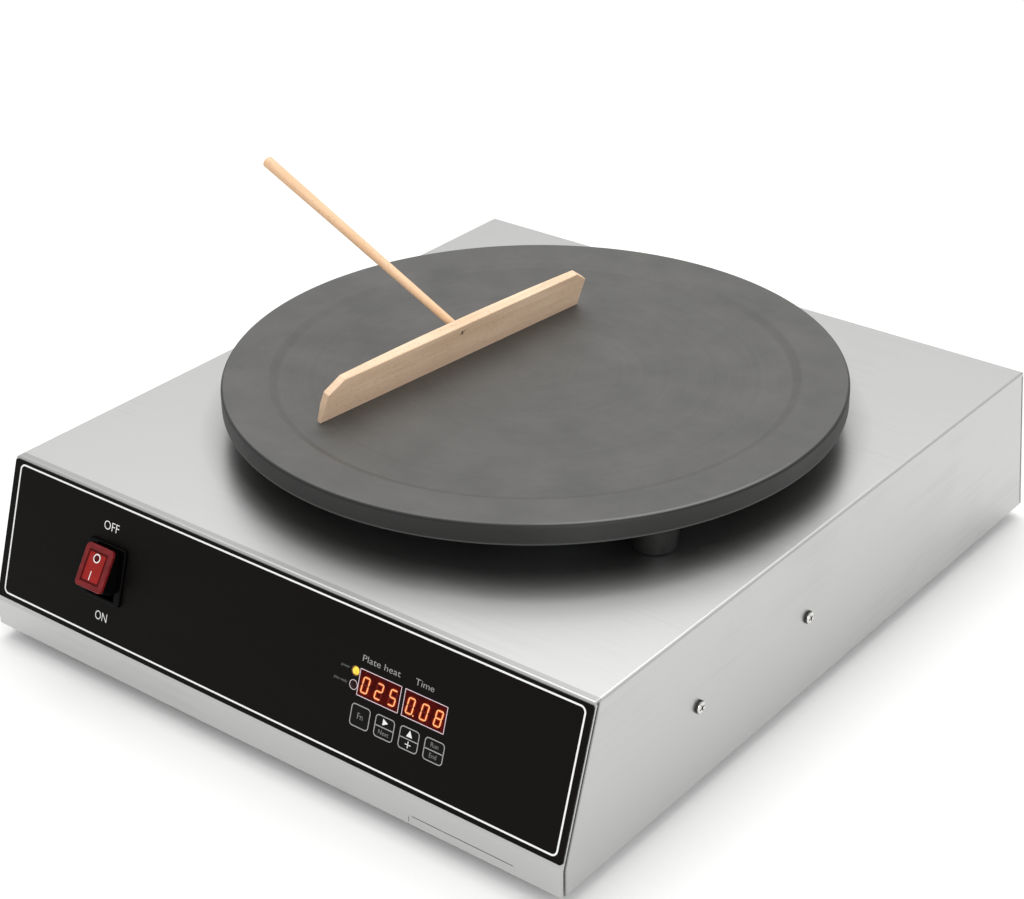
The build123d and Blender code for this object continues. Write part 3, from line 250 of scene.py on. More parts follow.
@dataclass(frozen=True)
class BrushedSheet(Finish):
    """Stainless sheet, belt brushed: fine straight lines that soften what it mirrors.

    Attributes:
        line_mm: Spacing and length of the brush lines, spaced wider than real ones
            so that they show in a render.
        band_mm: Width and length of the broader bands that a belt leaves.
        cloud_mm: Size of the faint clouds of handling.
        band_share: How much the bands weigh beside the clouds.
        line_share: How much the lines weigh beside both.
        mottle_range: Sums of the three that give the shade and the main colour.
        side_from: Sideways part of the normal from which a face is a side.
        steep: Upward parts of the normal at which a face is steep, and level.
        upright: How much of its colour an upright or steep face keeps, as painted
            shade;
        it mirrors the dimmer room instead of the sky.
        front_fold: Start of the front fold's band of painted shade, Y and Z in
            millimetres.
        fold_soft_mm: Width over which the band starts.
        fold_shade: How much of its colour the front fold keeps under its painted shade.
        fold_levels: Upward parts of the normal between which the fold sets in.
        strip_gain: What the narrow strip between that fold and the film gains, as
            painted light.
        strip_levels: Upward parts of the normal between which the strip sets in.
        plate_centre: The hot plate's axis.
        under_plate_shade_mm: Radii between which the painted shadow under the plate
            fades out.
        under_plate_shade: How much light the steel keeps in the painted shadow under
            the plate.
        seam_shade: Colour of the painted shade beside the front seam of a side.
        seam_shade_mm: Distances from the seam at which that painted shade starts, fades
            and ends.
        slope: Inward normal of the sloping front.
        slope_start: Where that normal meets the front, in millimetres.
        lip_start: Y of the lip's front.
    """

    line_mm: Point = (0.55, 70.0)
    band_mm: Point = (4.0, 210.0)
    cloud_mm: float = 90.0
    band_share: float = 0.5
    line_share: float = 0.55
    mottle_range: Point = (0.7, 1.35)
    side_from: float = 0.8
    steep: Point = (0.34, 0.6)
    upright: float = 0.86
    front_fold: Point = (-229.4, 109.5)
    fold_soft_mm: float = 0.6
    fold_shade: float = 0.73
    fold_levels: Point = (0.34, 0.8)
    strip_gain: float = 0.12
    strip_levels: Point = (0.2, 0.3)
    plate_centre: Triple = (0.0, 5.5, 0.0)
    under_plate_shade_mm: Point = (170.0, 216.0)
    under_plate_shade: float = 0.35
    seam_shade: str = "#4A4A49"
    seam_shade_mm: Triple = (1.1, 2.0, 4.2)
    slope: Triple = (0.0, 0.95002, -0.31218)
    slope_start: float = -260.4
    lip_start: float = -265.0

    def pattern(self, surface: Surface) -> None:
        """Draw lines along X on the front, top and back, and along Y on the sides.

        Args:
            surface: The surface that is painted.
        """
        facing = surface.add("SeparateXYZ", links={0: surface.facing})
        sideways = surface.add("Math", {"operation": "ABSOLUTE"}, {0: facing})
        on_side = surface.add(
            "Math", {"operation": "GREATER_THAN", 1: self.side_from}, {0: sideways}
        )
        grains = []
        for across, along in (self.line_mm, self.band_mm):
            flat, side = (
                surface.add(
                    "VectorMath", {"operation": "DIVIDE", 1: size}, {0: surface.place}
                )
                for size in ((along, across, across), (across, along, across))
            )
            either = surface.add(
                "Mix", {"data_type": "VECTOR"}, {0: on_side, 4: flat, 5: side}
            )
            grain = surface.add(
                "TexNoise",
                {"Scale": 1.0, "Detail": 3.0, "Roughness": 0.6},
                {"Vector": either.outputs[1]},
            )
            grains.append(grain)
        lines, bands = grains
        cloud = surface.add(
            "TexNoise",
            {"Scale": 1 / self.cloud_mm, "Detail": 2.0},
            {"Vector": surface.place},
        )
        broad = surface.add(
            "Math",
            {"operation": "MULTIPLY_ADD", 1: self.band_share},
            {0: bands, 2: cloud},
        )
        mottle = surface.add(
            "Math",
            {"operation": "MULTIPLY_ADD", 1: self.line_share, "use_clamp": True},
            {0: lines, 2: broad},
        )
        low, high = self.mottle_range
        soft = surface.add("MapRange", {1: low, 2: high}, {0: mottle})
        self.blend(surface, soft, lines)
        self.work_edges(surface, facing, on_side)

    def work_edges(
        self, surface: Surface, facing: bpy.types.Node, on_side: bpy.types.Node
    ) -> None:
        """Paint shade on the upright faces, the front fold and a seam's edge, and a
        shadow under the plate.

        Args:
            surface: The surface that is painted.
            facing: Its normal, split into X, Y and Z.
            on_side: 1 on the two side faces.
        """
        place = surface.add("SeparateXYZ", links={0: surface.place})
        level = surface.add("Math", {"operation": "ABSOLUTE"}, {0: facing.outputs[2]})
        # Painted shade: upright and steep faces keep less of their colour.
        kept = surface.add(
            "MapRange",
            {1: self.steep[0], 2: self.steep[1], 3: self.upright, 4: 1.0},
            {0: level},
        )
        # Painted shade along the front fold, with painted light on the strip beside it.
        fold = self.fold_loss(surface, place, level)
        dimmed = surface.add("Math", {"operation": "SUBTRACT"}, {0: kept, 1: fold})
        # Painted shadow on the top under the hot plate.
        under_plate_shade = self.under_plate_light_kept(surface)
        lasting = surface.add("Math", {"operation": "MULTIPLY"}, {0: dimmed, 1: under_plate_shade})
        tone = surface.add(
            "VectorMath",
            {"operation": "SCALE"},
            {0: surface.painted(), "Scale": lasting},
        )
        # Painted shade beside the front seam of each side.
        seam = self.seam_shade_band(surface, place)
        side_seam_shade = surface.add(
            "Math", {"operation": "MULTIPLY"}, {0: seam, 1: on_side}
        )
        colour = surface.add(
            "Mix",
            {"data_type": "RGBA", 7: linear(self.seam_shade)},
            {0: side_seam_shade, 6: tone},
        )
        surface.feed("Base Color", colour.outputs[2])

    def fold_loss(
        self, surface: Surface, place: bpy.types.Node, level: bpy.types.Node
    ) -> bpy.types.Node:
        """Work out the painted shade along the front fold, less the painted light on
        the strip.

        Args:
            surface: The surface that is painted.
            place: Position, split into X, Y and Z.
            level: How far the face looks up or down.

        Returns:
            A node that gives the loss, 0 away from the fold.
        """
        start, floor = self.front_fold
        before = surface.add(
            "MapRange", {1: start, 2: start - self.fold_soft_mm}, {0: place.outputs[1]}
        )
        above = surface.add(
            "Math", {"operation": "GREATER_THAN", 1: floor}, {0: place.outputs[2]}
        )
        low, high = self.fold_levels
        flat_drop = surface.add(
            "MapRange",
            {1: low, 2: high, 4: 1 - self.fold_shade + self.strip_gain},
            {0: level},
        )
        low, high = self.strip_levels
        slope_gain = surface.add(
            "MapRange", {1: low, 2: high, 4: self.strip_gain}, {0: level}
        )
        drop = surface.add(
            "Math", {"operation": "SUBTRACT"}, {0: flat_drop, 1: slope_gain}
        )
        band = surface.add("Math", {"operation": "MULTIPLY"}, {0: before, 1: above})
        return surface.add("Math", {"operation": "MULTIPLY"}, {0: band, 1: drop})

    def under_plate_light_kept(self, surface: Surface) -> bpy.types.Node:
        """Work out how much light the steel keeps in the painted shadow round the
        plate's axis.

        Args:
            surface: The surface that is painted.

        Returns:
            A node that gives the share, 1 away from the plate.
        """
        flat_place = surface.add(
            "VectorMath",
            {"operation": "MULTIPLY", 1: (1.0, 1.0, 0.0)},
            {0: surface.place},
        )
        radius = surface.add(
            "VectorMath",
            {"operation": "DISTANCE", 1: self.plate_centre},
            {0: flat_place},
        )
        inner, outer = self.under_plate_shade_mm
        return surface.add(
            "MapRange",
            {1: inner, 2: outer, 3: self.under_plate_shade, 4: 1.0},
            {0: radius.outputs["Value"]},
        )

    def seam_shade_band(self, surface: Surface, place: bpy.types.Node) -> bpy.types.Node:
        """Find the band of painted shade beside the front seam.

        Args:
            surface: The surface that is painted.
            place: Position, split into X, Y and Z.

        Returns:
            A node that gives 1 on the edge and 0 away from it.
        """
        along = surface.add(
            "VectorMath",
            {"operation": "DOT_PRODUCT", 1: self.slope},
            {0: surface.place},
        )
        from_slope = surface.add(
            "Math",
            {"operation": "SUBTRACT", 1: self.slope_start},
            {0: along.outputs["Value"]},
        )
        from_lip = surface.add(
            "Math",
            {"operation": "SUBTRACT", 1: self.lip_start},
            {0: place.outputs[1]},
        )
        inward = surface.add(
            "Math", {"operation": "MINIMUM"}, {0: from_slope, 1: from_lip}
        )
        start, fade, end = self.seam_shade_mm
        beside = surface.add("MapRange", {1: end, 2: fade}, {0: inward})
        past = surface.add("Math", {"operation": "GREATER_THAN", 1: start}, {0: inward})
        return surface.add("Math", {"operation": "MULTIPLY"}, {0: beside, 1: past})


@dataclass(frozen=True)
class SpangledSheet(Finish):
    """Zinc-coated steel sheet: flat grey crystals with a dull shine.

    Attributes:
        spangle_mm: Width of one zinc crystal.
        grain_mm: Size of the faint rolling grain, coarser than a real one so that
            it shows in a render.
    """

    spangle_mm: float = 6.0
    grain_mm: float = 1 / 1.5

    def pattern(self, surface: Surface) -> None:
        """Lay crystals of slightly different grey over a faint rolling grain.

        Args:
            surface: The surface that is painted.
        """
        crystal = surface.add(
            "TexVoronoi",
            {"Scale": 1 / self.spangle_mm, "Randomness": 1.0},
            {"Vector": surface.place},
        )
        grey = surface.add("SeparateColor", links={0: crystal.outputs[1]})
        grain = surface.add(
            "TexNoise",
            {"Scale": 1 / self.grain_mm, "Detail": 2.0},
            {"Vector": surface.place},
        )
        self.blend(surface, grey, grain)


@dataclass(frozen=True)
class Moulded(Finish):
    """Moulded plastic, rubber or ceramic with the mould's fine matt texture.

    Attributes:
        grain_mm: Size of the mould texture's grains, coarser than real ones so
            that they show in a render.
        patch_mm: Size of the faint uneven patches left by handling.
        grain_share: How much the grains weigh beside the patches.
        mottle_range: Sums of the two that give the shade and the main colour.
    """

    grain_mm: float = 0.45
    patch_mm: float = 14.0
    grain_share: float = 0.3
    mottle_range: Point = (0.4, 0.9)

    def pattern(self, surface: Surface) -> None:
        """Raise small grains in the bump and lay wider patches in the tone.

        Args:
            surface: The surface that is painted.
        """
        grain, patch = (
            surface.add(
                "TexNoise",
                {"Scale": 1 / size, "Detail": detail, "Roughness": rough},
                {"Vector": surface.place},
            )
            for size, detail, rough in (
                (self.grain_mm, 2.0, 0.5),
                (self.patch_mm, 4.0, 0.6),
            )
        )
        mixed = surface.add(
            "Math",
            {"operation": "MULTIPLY_ADD", 1: self.grain_share, "use_clamp": True},
            {0: grain, 2: patch},
        )
        low, high = self.mottle_range
        even = surface.add("MapRange", {1: low, 2: high}, {0: mixed})
        self.blend(surface, even, grain)


@dataclass(frozen=True)
class TurnedMetal(Finish):
    """Turned or plated metal: fine tool marks and small stains.

    Attributes:
        ring_mm: Spacing of the tool's marks, wider than real ones so that they
            show in a render.
        stain_mm: Size of the stains.
        flank: How much of its colour the flank of a head on a side of the housing
            keeps,
        as painted shade, for it mirrors only the gap around it.
        flank_facing: Sideways parts of the normal on the flank and on the face.
    """

    ring_mm: float = 0.4
    stain_mm: float = 3.0
    flank: float = 1.0
    flank_facing: Point = (0.45, 0.72)

    def pattern(self, surface: Surface) -> None:
        """Stain the metal, scratch it in every direction and paint shade on its flank.

        Args:
            surface: The surface that is painted.
        """
        stain = surface.add(
            "TexNoise",
            {"Scale": 1 / self.stain_mm, "Detail": 4.0},
            {"Vector": surface.place},
        )
        scratch = surface.add(
            "TexNoise",
            {"Scale": 1 / self.ring_mm, "Detail": 3.0, "Distortion": 2.0},
            {"Vector": surface.place},
        )
        self.blend(surface, stain, scratch)
        if self.flank == 1.0:
            return
        # Painted shade on the flank of the head.
        facing = surface.add("SeparateXYZ", links={0: surface.facing})
        outward = surface.add("Math", {"operation": "ABSOLUTE"}, {0: facing})
        on_flank, on_face = self.flank_facing
        kept = surface.add(
            "MapRange",
            {1: on_flank, 2: on_face, 3: self.flank, 4: 1.0},
            {0: outward},
        )
        tone = surface.add(
            "VectorMath", {"operation": "SCALE"}, {0: surface.painted(), "Scale": kept}
        )
        surface.feed("Base Color", tone.outputs[0])


@dataclass(frozen=True)
class RimLine:
    """A line round the upright rim, between two heights, that paints a highlight when
    light and shade when dark.

    Attributes:
        low: Lower edge under the rim's top, in millimetres.
        high: Upper edge under the rim's top, in millimetres.
        soft: Width over which it fades at either edge, in millimetres.
        tint: Its colour.
        share: How strongly it covers the coat.
        highlight_side_only: Whether it shows only where the painted highlight falls.
    """

    low: float
    high: float
    soft: float
    tint: str
    share: float
    highlight_side_only: bool = False


@dataclass(frozen=True)
class SprayedCasting(Finish):
    """Cast aluminium, blasted and sprayed with a baked dark non-stick coat.

    Attributes:
        peel_mm: Size of the coat's orange peel.
        patch_mm: Size of the uneven patches of the coat.
        ring_mm: Spacing of the turned rings on the cooking face, wider than a
            real tool's feed so that they show in a render.
        turned_shares: How much the turned rings weigh in the tone and the relief.
        mottle_range: Sums of the patterns that give the shade and the main colour.
        side: Colour painted on the rim's upright and lower faces as painted shade,
            darker than
        the coat on top.
        side_shade_facing: Upward parts of the normal at which the rim's painted shade
            starts,
        and is full.
        highlight_side: Where on the rim the painted highlight along the top edge falls.
        highlight_reach: Shares of the radius over which that highlight sets in that
            way.
        highlight_elsewhere: How much of the highlight line shows on the rest of the
            rim.
        lines: The lines round the rim: a thin painted highlight along the top edge,
        painted shade under it, and a painted highlight along the lower edge.
        centre_mm: The plate's axis.
        edge_mm: Radius of the rim.
        top_mm: Height of the rim's top.
        cooking_mm: Radii between which the turned rings of the cooking face set in.
        side_mm: Radius from which a tilted face is the rim's side.
        lines_mm: Radii between which the lines round the rim set in.
    """

    peel_mm: float = 0.9
    patch_mm: float = 38.0
    ring_mm: float = 1 / 0.9
    turned_shares: Point = (0.35, 0.5)
    mottle_range: Point = (0.45, 0.9)
    side: str = "#20201F"
    side_shade_facing: Point = (0.97, 0.84)
    highlight_side: Triple = (0.896, -0.444, 0.0)
    highlight_reach: Point = (0.88, 0.97)
    highlight_elsewhere: float = 0.1
    # Painted highlight on the top edge, painted shade under it, painted highlight on
    # the lower edge.
    lines: tuple[RimLine, ...] = (
        RimLine(0.45, 0.0, 0.2, "#8E8E8A", 0.36, highlight_side_only=True),
        RimLine(1.6, 0.95, 0.25, "#0F0F0F", 0.8),
        RimLine(13.4, 12.5, 0.4, "#70706D", 0.27),
    )
    centre_mm: Triple = (0.0, 5.5, 0.0)
    edge_mm: float = 200.0
    top_mm: float = 151.2
    cooking_mm: Point = (165.0, 162.0)
    side_mm: float = 190.0
    lines_mm: Point = (197.5, 198.0)

    def pattern(self, surface: Surface) -> None:
        """Draw orange peel, faint turned rings on the cooking face, and the rim.

        Args:
            surface: The surface that is painted.
        """
        local = surface.add(
            "VectorMath",
            {"operation": "SUBTRACT", 1: self.centre_mm},
            {0: surface.place},
        )
        flat = surface.add(
            "VectorMath", {"operation": "MULTIPLY", 1: (1.0, 1.0, 0.0)}, {0: local}
        )
        length = surface.add("VectorMath", {"operation": "LENGTH"}, {0: flat})
        radius = length.outputs["Value"]
        height = surface.add("SeparateXYZ", links={0: surface.place}).outputs[2]
        peel, patch = (
            surface.add(
                "TexNoise",
                {"Scale": 1 / size, "Detail": detail, "Roughness": rough},
                {"Vector": surface.place},
            )
            for size, detail, rough in (
                (self.peel_mm, 3.0, 0.55),
                (self.patch_mm, 5.0, 0.62),
            )
        )
        ring_place = surface.add("CombineXYZ", links={0: radius, 2: height})
        rings = surface.add(
            "TexNoise",
            {"Scale": 1 / self.ring_mm, "Detail": 2.0},
            {"Vector": ring_place},
        )
        outside, within = self.cooking_mm
        inside = surface.add("MapRange", {1: outside, 2: within}, {0: radius})
        turned = surface.add(
            "Mix", {"data_type": "FLOAT"}, {0: inside, 2: peel, 3: rings}
        )
        mottle, relief = (
            surface.add(
                "Math",
                {"operation": "MULTIPLY_ADD", 1: share},
                {0: turned, 2: under},
            )
            for share, under in zip(self.turned_shares, (patch, peel))
        )
        low, high = self.mottle_range
        even = surface.add("MapRange", {1: low, 2: high}, {0: mottle})
        self.blend(surface, even, relief)
        self.paint_rim(surface, local, radius, height)

    def paint_rim(
        self,
        surface: Surface,
        local: bpy.types.Node,
        radius: bpy.types.NodeSocket,
        height: bpy.types.NodeSocket,
    ) -> None:
        """Paint shade on the upright rim, with the painted highlight and shade lines
        round it.

        Args:
            surface: The surface that is painted.
            local: Position from the plate's axis.
            radius: Distance from that axis.
            height: Height over the ground.
        """
        # Painted shade: the rim's upright and lower faces take the darker side colour.
        facing = surface.add("SeparateXYZ", links={0: surface.facing})
        start, full = self.side_shade_facing
        tilted = surface.add("MapRange", {1: start, 2: full}, {0: facing.outputs[2]})
        at_rim = surface.add(
            "Math", {"operation": "GREATER_THAN", 1: self.side_mm}, {0: radius}
        )
        upright = surface.add("Math", {"operation": "MULTIPLY"}, {0: tilted, 1: at_rim})
        colour = surface.add(
            "Mix",
            {"data_type": "RGBA", 7: linear(self.side)},
            {0: upright, 6: surface.painted()},
        )
        start, full = self.lines_mm
        outer = surface.add("MapRange", {1: start, 2: full}, {0: radius})
        toward = surface.add(
            "VectorMath", {"operation": "DOT_PRODUCT", 1: self.highlight_side}, {0: local}
        )
        near, far = self.highlight_reach
        highlight_side = surface.add(
            "MapRange",
            {
                1: near * self.edge_mm,
                2: far * self.edge_mm,
                3: self.highlight_elsewhere,
                4: 1.0,
            },
            {0: toward.outputs["Value"]},
        )
        # Paint the highlight and shade lines round the rim, each between two heights.
        for line in self.lines:
            low, high = self.top_mm - line.low, self.top_mm - line.high
            over = surface.add(
                "MapRange", {1: low - line.soft, 2: low, 4: line.share}, {0: height}
            )
            under = surface.add("MapRange", {1: high + line.soft, 2: high}, {0: height})
            cover = surface.add("Math", {"operation": "MULTIPLY"}, {0: over, 1: under})
            for limit in (outer, highlight_side) if line.highlight_side_only else (outer,):
                cover = surface.add(
                    "Math", {"operation": "MULTIPLY"}, {0: cover, 1: limit}
                )
            colour = surface.add(
                "Mix",
                {"data_type": "RGBA", 7: linear(line.tint)},
                {0: cover, 6: colour.outputs[2]},
            )
        surface.feed("Base Color", colour.outputs[2])


@dataclass(frozen=True)
class BlackFilm(Finish):
    """Polyester overlay, printed black on its back: satin with a velvet grain.

    Attributes:
        grain_mm: Size of the velvet grain, coarser than a real one so that it
            shows in a render.
        smear_mm: Size of a smear, along X, Y and Z.
    """

    grain_mm: float = 0.4
    smear_mm: Triple = (60.0, 9.0, 9.0)

    def pattern(self, surface: Surface) -> None:
        """Lay a very fine velvet grain, and faint smears from wiping.

        Args:
            surface: The surface that is painted.
        """
        velvet = surface.add(
            "TexNoise",
            {"Scale": 1 / self.grain_mm, "Detail": 2.0},
            {"Vector": surface.place},
        )
        stretched = surface.add(
            "VectorMath", {"operation": "DIVIDE", 1: self.smear_mm}, {0: surface.place}
        )
        smear = surface.add(
            "TexNoise", {"Scale": 1.0, "Detail": 3.0}, {"Vector": stretched}
        )
        self.blend(surface, smear, velvet)


@dataclass(frozen=True)
class EvenGrain(Finish):
    """A thin even layer, such as ink or paper, with one fine grain.

    Attributes:
        grain_mm: Size of the grain: the screen's mesh, or the paper's fibre; both
            are drawn coarser than real so that they show in a render.
        detail: How finely the grain breaks up.
    """

    grain_mm: float = 0.3
    detail: float = 1.0

    def pattern(self, surface: Surface) -> None:
        """Lay the grain in both the tone and the relief.

        Args:
            surface: The surface that is painted.
        """
        grain = surface.add(
            "TexNoise",
            {"Scale": 1 / self.grain_mm, "Detail": self.detail},
            {"Vector": surface.place},
        )
        self.blend(surface, grain, grain)


@dataclass(frozen=True)
class TintedLens(Finish):
    """Clear tinted plastic that glows where light sits behind it.

    Attributes:
        glow: Colour of the light that comes through.
        power: Strength of that light.
        dimmed: How much of the glow its dimmest places keep.
        patch_mm: Size of the cloudy places inside the plastic.
        mottle_range: Cloud depths that give the shade and the main colour.
    """

    glow: str = "#000000"
    power: float = 0.0
    dimmed: float = 0.86
    patch_mm: float = 5.0
    mottle_range: Point = (0.3, 0.7)

    def pattern(self, surface: Surface) -> None:
        """Draw cloudy depth under a polished skin, and light it.

        Args:
            surface: The surface that is painted.
        """
        cloud = surface.add(
            "TexNoise",
            {"Scale": 1 / self.patch_mm, "Detail": 2.0},
            {"Vector": surface.place},
        )
        low, high = self.mottle_range
        even = surface.add("MapRange", {1: low, 2: high}, {0: cloud})
        self.blend(surface, even, cloud)
        if self.power:
            bright = Vector(linear(self.glow)[:3])
            light = surface.add(
                "Mix",
                {
                    "data_type": "RGBA",
                    6: (*(bright * self.dimmed), 1.0),
                    7: (*bright, 1.0),
                },
                {0: even},
            )
            surface.feed("Emission Color", light.outputs[2])
            surface.shader.inputs["Emission Strength"].default_value = self.power


@dataclass(frozen=True)
class MaskedBoard(Finish):
    """Glass-epoxy circuit board under green solder mask.

    Attributes:
        track_mm: Pitch and length of the copper tracks that show through the mask.
        gap_mm: Width of the gap between two tracks.
        uneven: How far the tone of one track strays from the next.
    """

    track_mm: Point = (2.54, 12.7)
    gap_mm: float = 0.35
    uneven: float = 0.15

    def pattern(self, surface: Surface) -> None:
        """Draw the tracks as slightly raised lighter lines.

        Args:
            surface: The surface that is painted.
        """
        pitch, run = self.track_mm
        tracks = surface.add(
            "TexBrick",
            {
                "Scale": 1.0,
                "Mortar Size": self.gap_mm,
                "Brick Width": run,
                "Row Height": pitch,
                "Color1": (0.0, 0.0, 0.0, 1.0),
                "Color2": (self.uneven, self.uneven, self.uneven, 1.0),
                "Mortar": (1.0, 1.0, 1.0, 1.0),
            },
            {"Vector": surface.place},
        )
        self.blend(surface, tracks, tracks)


@dataclass(frozen=True)
class BraidedSleeve(Finish):
    """Woven glass-fibre sleeve over a wire.

    Attributes:
        strand_mm: Width of one strand of the braid.
        lean: Angle at which the strands cross, in radians.
        wave_length: Distance after which a wave texture of scale 1 repeats.
        frayed: How far the strands wander.
    """

    strand_mm: float = 0.8
    lean: float = 0.8
    wave_length: float = 0.31
    frayed: float = 0.4

    def pattern(self, surface: Surface) -> None:
        """Weave two sets of crossing strands.

        Args:
            surface: The surface that is painted.
        """
        strands = []
        for lean in (self.lean, -self.lean):
            turned = surface.add(
                "Mapping", {"Rotation": (lean, lean, lean)}, {"Vector": surface.place}
            )
            strand = surface.add(
                "TexWave",
                {"Scale": self.wave_length / self.strand_mm, "Distortion": self.frayed},
                {"Vector": turned},
            )
            strands.append(strand.outputs[1])
        weave = surface.add("Math", {"operation": "MAXIMUM"}, dict(enumerate(strands)))
        self.blend(surface, weave, weave)


@dataclass(frozen=True)
class PlanedWood(Finish):
    """Planed beech: straight close grain with short darker flecks.

    Attributes:
        grain: Direction of the grain in the row frame.
        ring_mm: Length and width of a growth line on the face.
        fibre_mm: Length and width of a fibre, coarser than a real one so that it
            shows in a render.
        tone_mm: Length and width of the wide changes of tone.
        fleck: Colour of the flecks and pores.
        fleck_mm: Length and width of a fleck.
        fleck_range: Noise values between which a fleck shows.
        fleck_share: How strongly a fleck covers the wood.
        ring_share: How much the growth lines weigh beside the wide tone.
        fibre_share: How much the fibre weighs beside both.
        mottle_range: Sums of the three that give the shade and the main colour.
        soaked: Colour of the band that batter has soaked.
        soaked_mm: Height that the soaked band reaches; 0 leaves it out.
        soaked_share: How strongly the band covers the wood.
        tide_mm: How far over that height the band starts, and is full.
        climb_mm: How far the batter climbs the growth lines.
    """

    grain: Triple = (0.0, 1.0, 0.0)
    ring_mm: Point = (150.0, 1.6)
    fibre_mm: Point = (22.0, 0.5)
    tone_mm: Point = (60.0, 11.0)
    fleck: str = "#8A6A4C"
    fleck_mm: Point = (2.6, 0.34)
    fleck_range: Point = (0.66, 0.74)
    fleck_share: float = 0.8
    ring_share: float = 0.6
    fibre_share: float = 0.4
    mottle_range: Point = (0.65, 1.3)
    soaked: str = "#DDBDA2"
    soaked_mm: float = 0.0
    soaked_share: float = 0.7
    tide_mm: Point = (6.0, -4.0)
    climb_mm: float = 5.0

    def pattern(self, surface: Surface) -> None:
        """Draw growth lines, fine fibre and flecks, all drawn out along the grain.

        Args:
            surface: The surface that is painted.
        """
        axis = Vector(self.grain).normalized()
        turn = axis.rotation_difference(Vector((1.0, 0.0, 0.0))).to_euler()
        lined_up = surface.add(
            "Mapping", {"Rotation": tuple(turn)}, {"Vector": surface.place}
        )
        layers = {}
        for name, (length, width), detail in (
            ("ring", self.ring_mm, 2.0),
            ("fibre", self.fibre_mm, 2.0),
            ("fleck", self.fleck_mm, 1.0),
            ("tone", self.tone_mm, 2.0),
        ):
            drawn_out = surface.add(
                "VectorMath",
                {"operation": "DIVIDE", 1: (length, width, width)},
                {0: lined_up},
            )
            layers[name] = surface.add(
                "TexNoise", {"Scale": 1.0, "Detail": detail}, {"Vector": drawn_out}
            )
        lines = surface.add(
            "Math",
            {"operation": "MULTIPLY_ADD", 1: self.ring_share},
            {0: layers["ring"], 2: layers["tone"]},
        )
        mottle = surface.add(
            "Math",
            {"operation": "MULTIPLY_ADD", 1: self.fibre_share},
            {0: layers["fibre"], 2: lines},
        )
        low, high = self.mottle_range
        even = surface.add("MapRange", {1: low, 2: high}, {0: mottle})
        self.blend(surface, even, layers["fibre"])
        if self.soaked_mm:
            self.soak(surface, layers["ring"])
        low, high = self.fleck_range
        flecks = surface.add("MapRange", {1: low, 2: high}, {0: layers["fleck"]})
        faint = surface.add(
            "Math", {"operation": "MULTIPLY", 1: self.fleck_share}, {0: flecks}
        )
        colour = surface.add(
            "Mix",
            {"data_type": "RGBA", 7: linear(self.fleck)},
            {0: faint, 6: surface.painted()},
        )
        surface.feed("Base Color", colour.outputs[2])

    def soak(self, surface: Surface, ring: bpy.types.Node) -> None:
        """Tint the wood below a wavering tide line.

        Args:
            surface: The surface that is painted.
            ring: The growth lines, which the batter climbs.
        """
        place = surface.add("SeparateXYZ", links={0: surface.place})
        tide = surface.add(
            "Math",
            {"operation": "MULTIPLY_ADD", 1: self.climb_mm},
            {0: ring, 2: place.outputs[2]},
        )
        start, full = (self.soaked_mm + over for over in self.tide_mm)
        below = surface.add(
            "MapRange", {1: start, 2: full, 4: self.soaked_share}, {0: tide}
        )
        colour = surface.add(
            "Mix",
            {"data_type": "RGBA", 7: linear(self.soaked)},
            {0: below, 6: surface.painted()},
        )
        surface.feed("Base Color", colour.outputs[2])


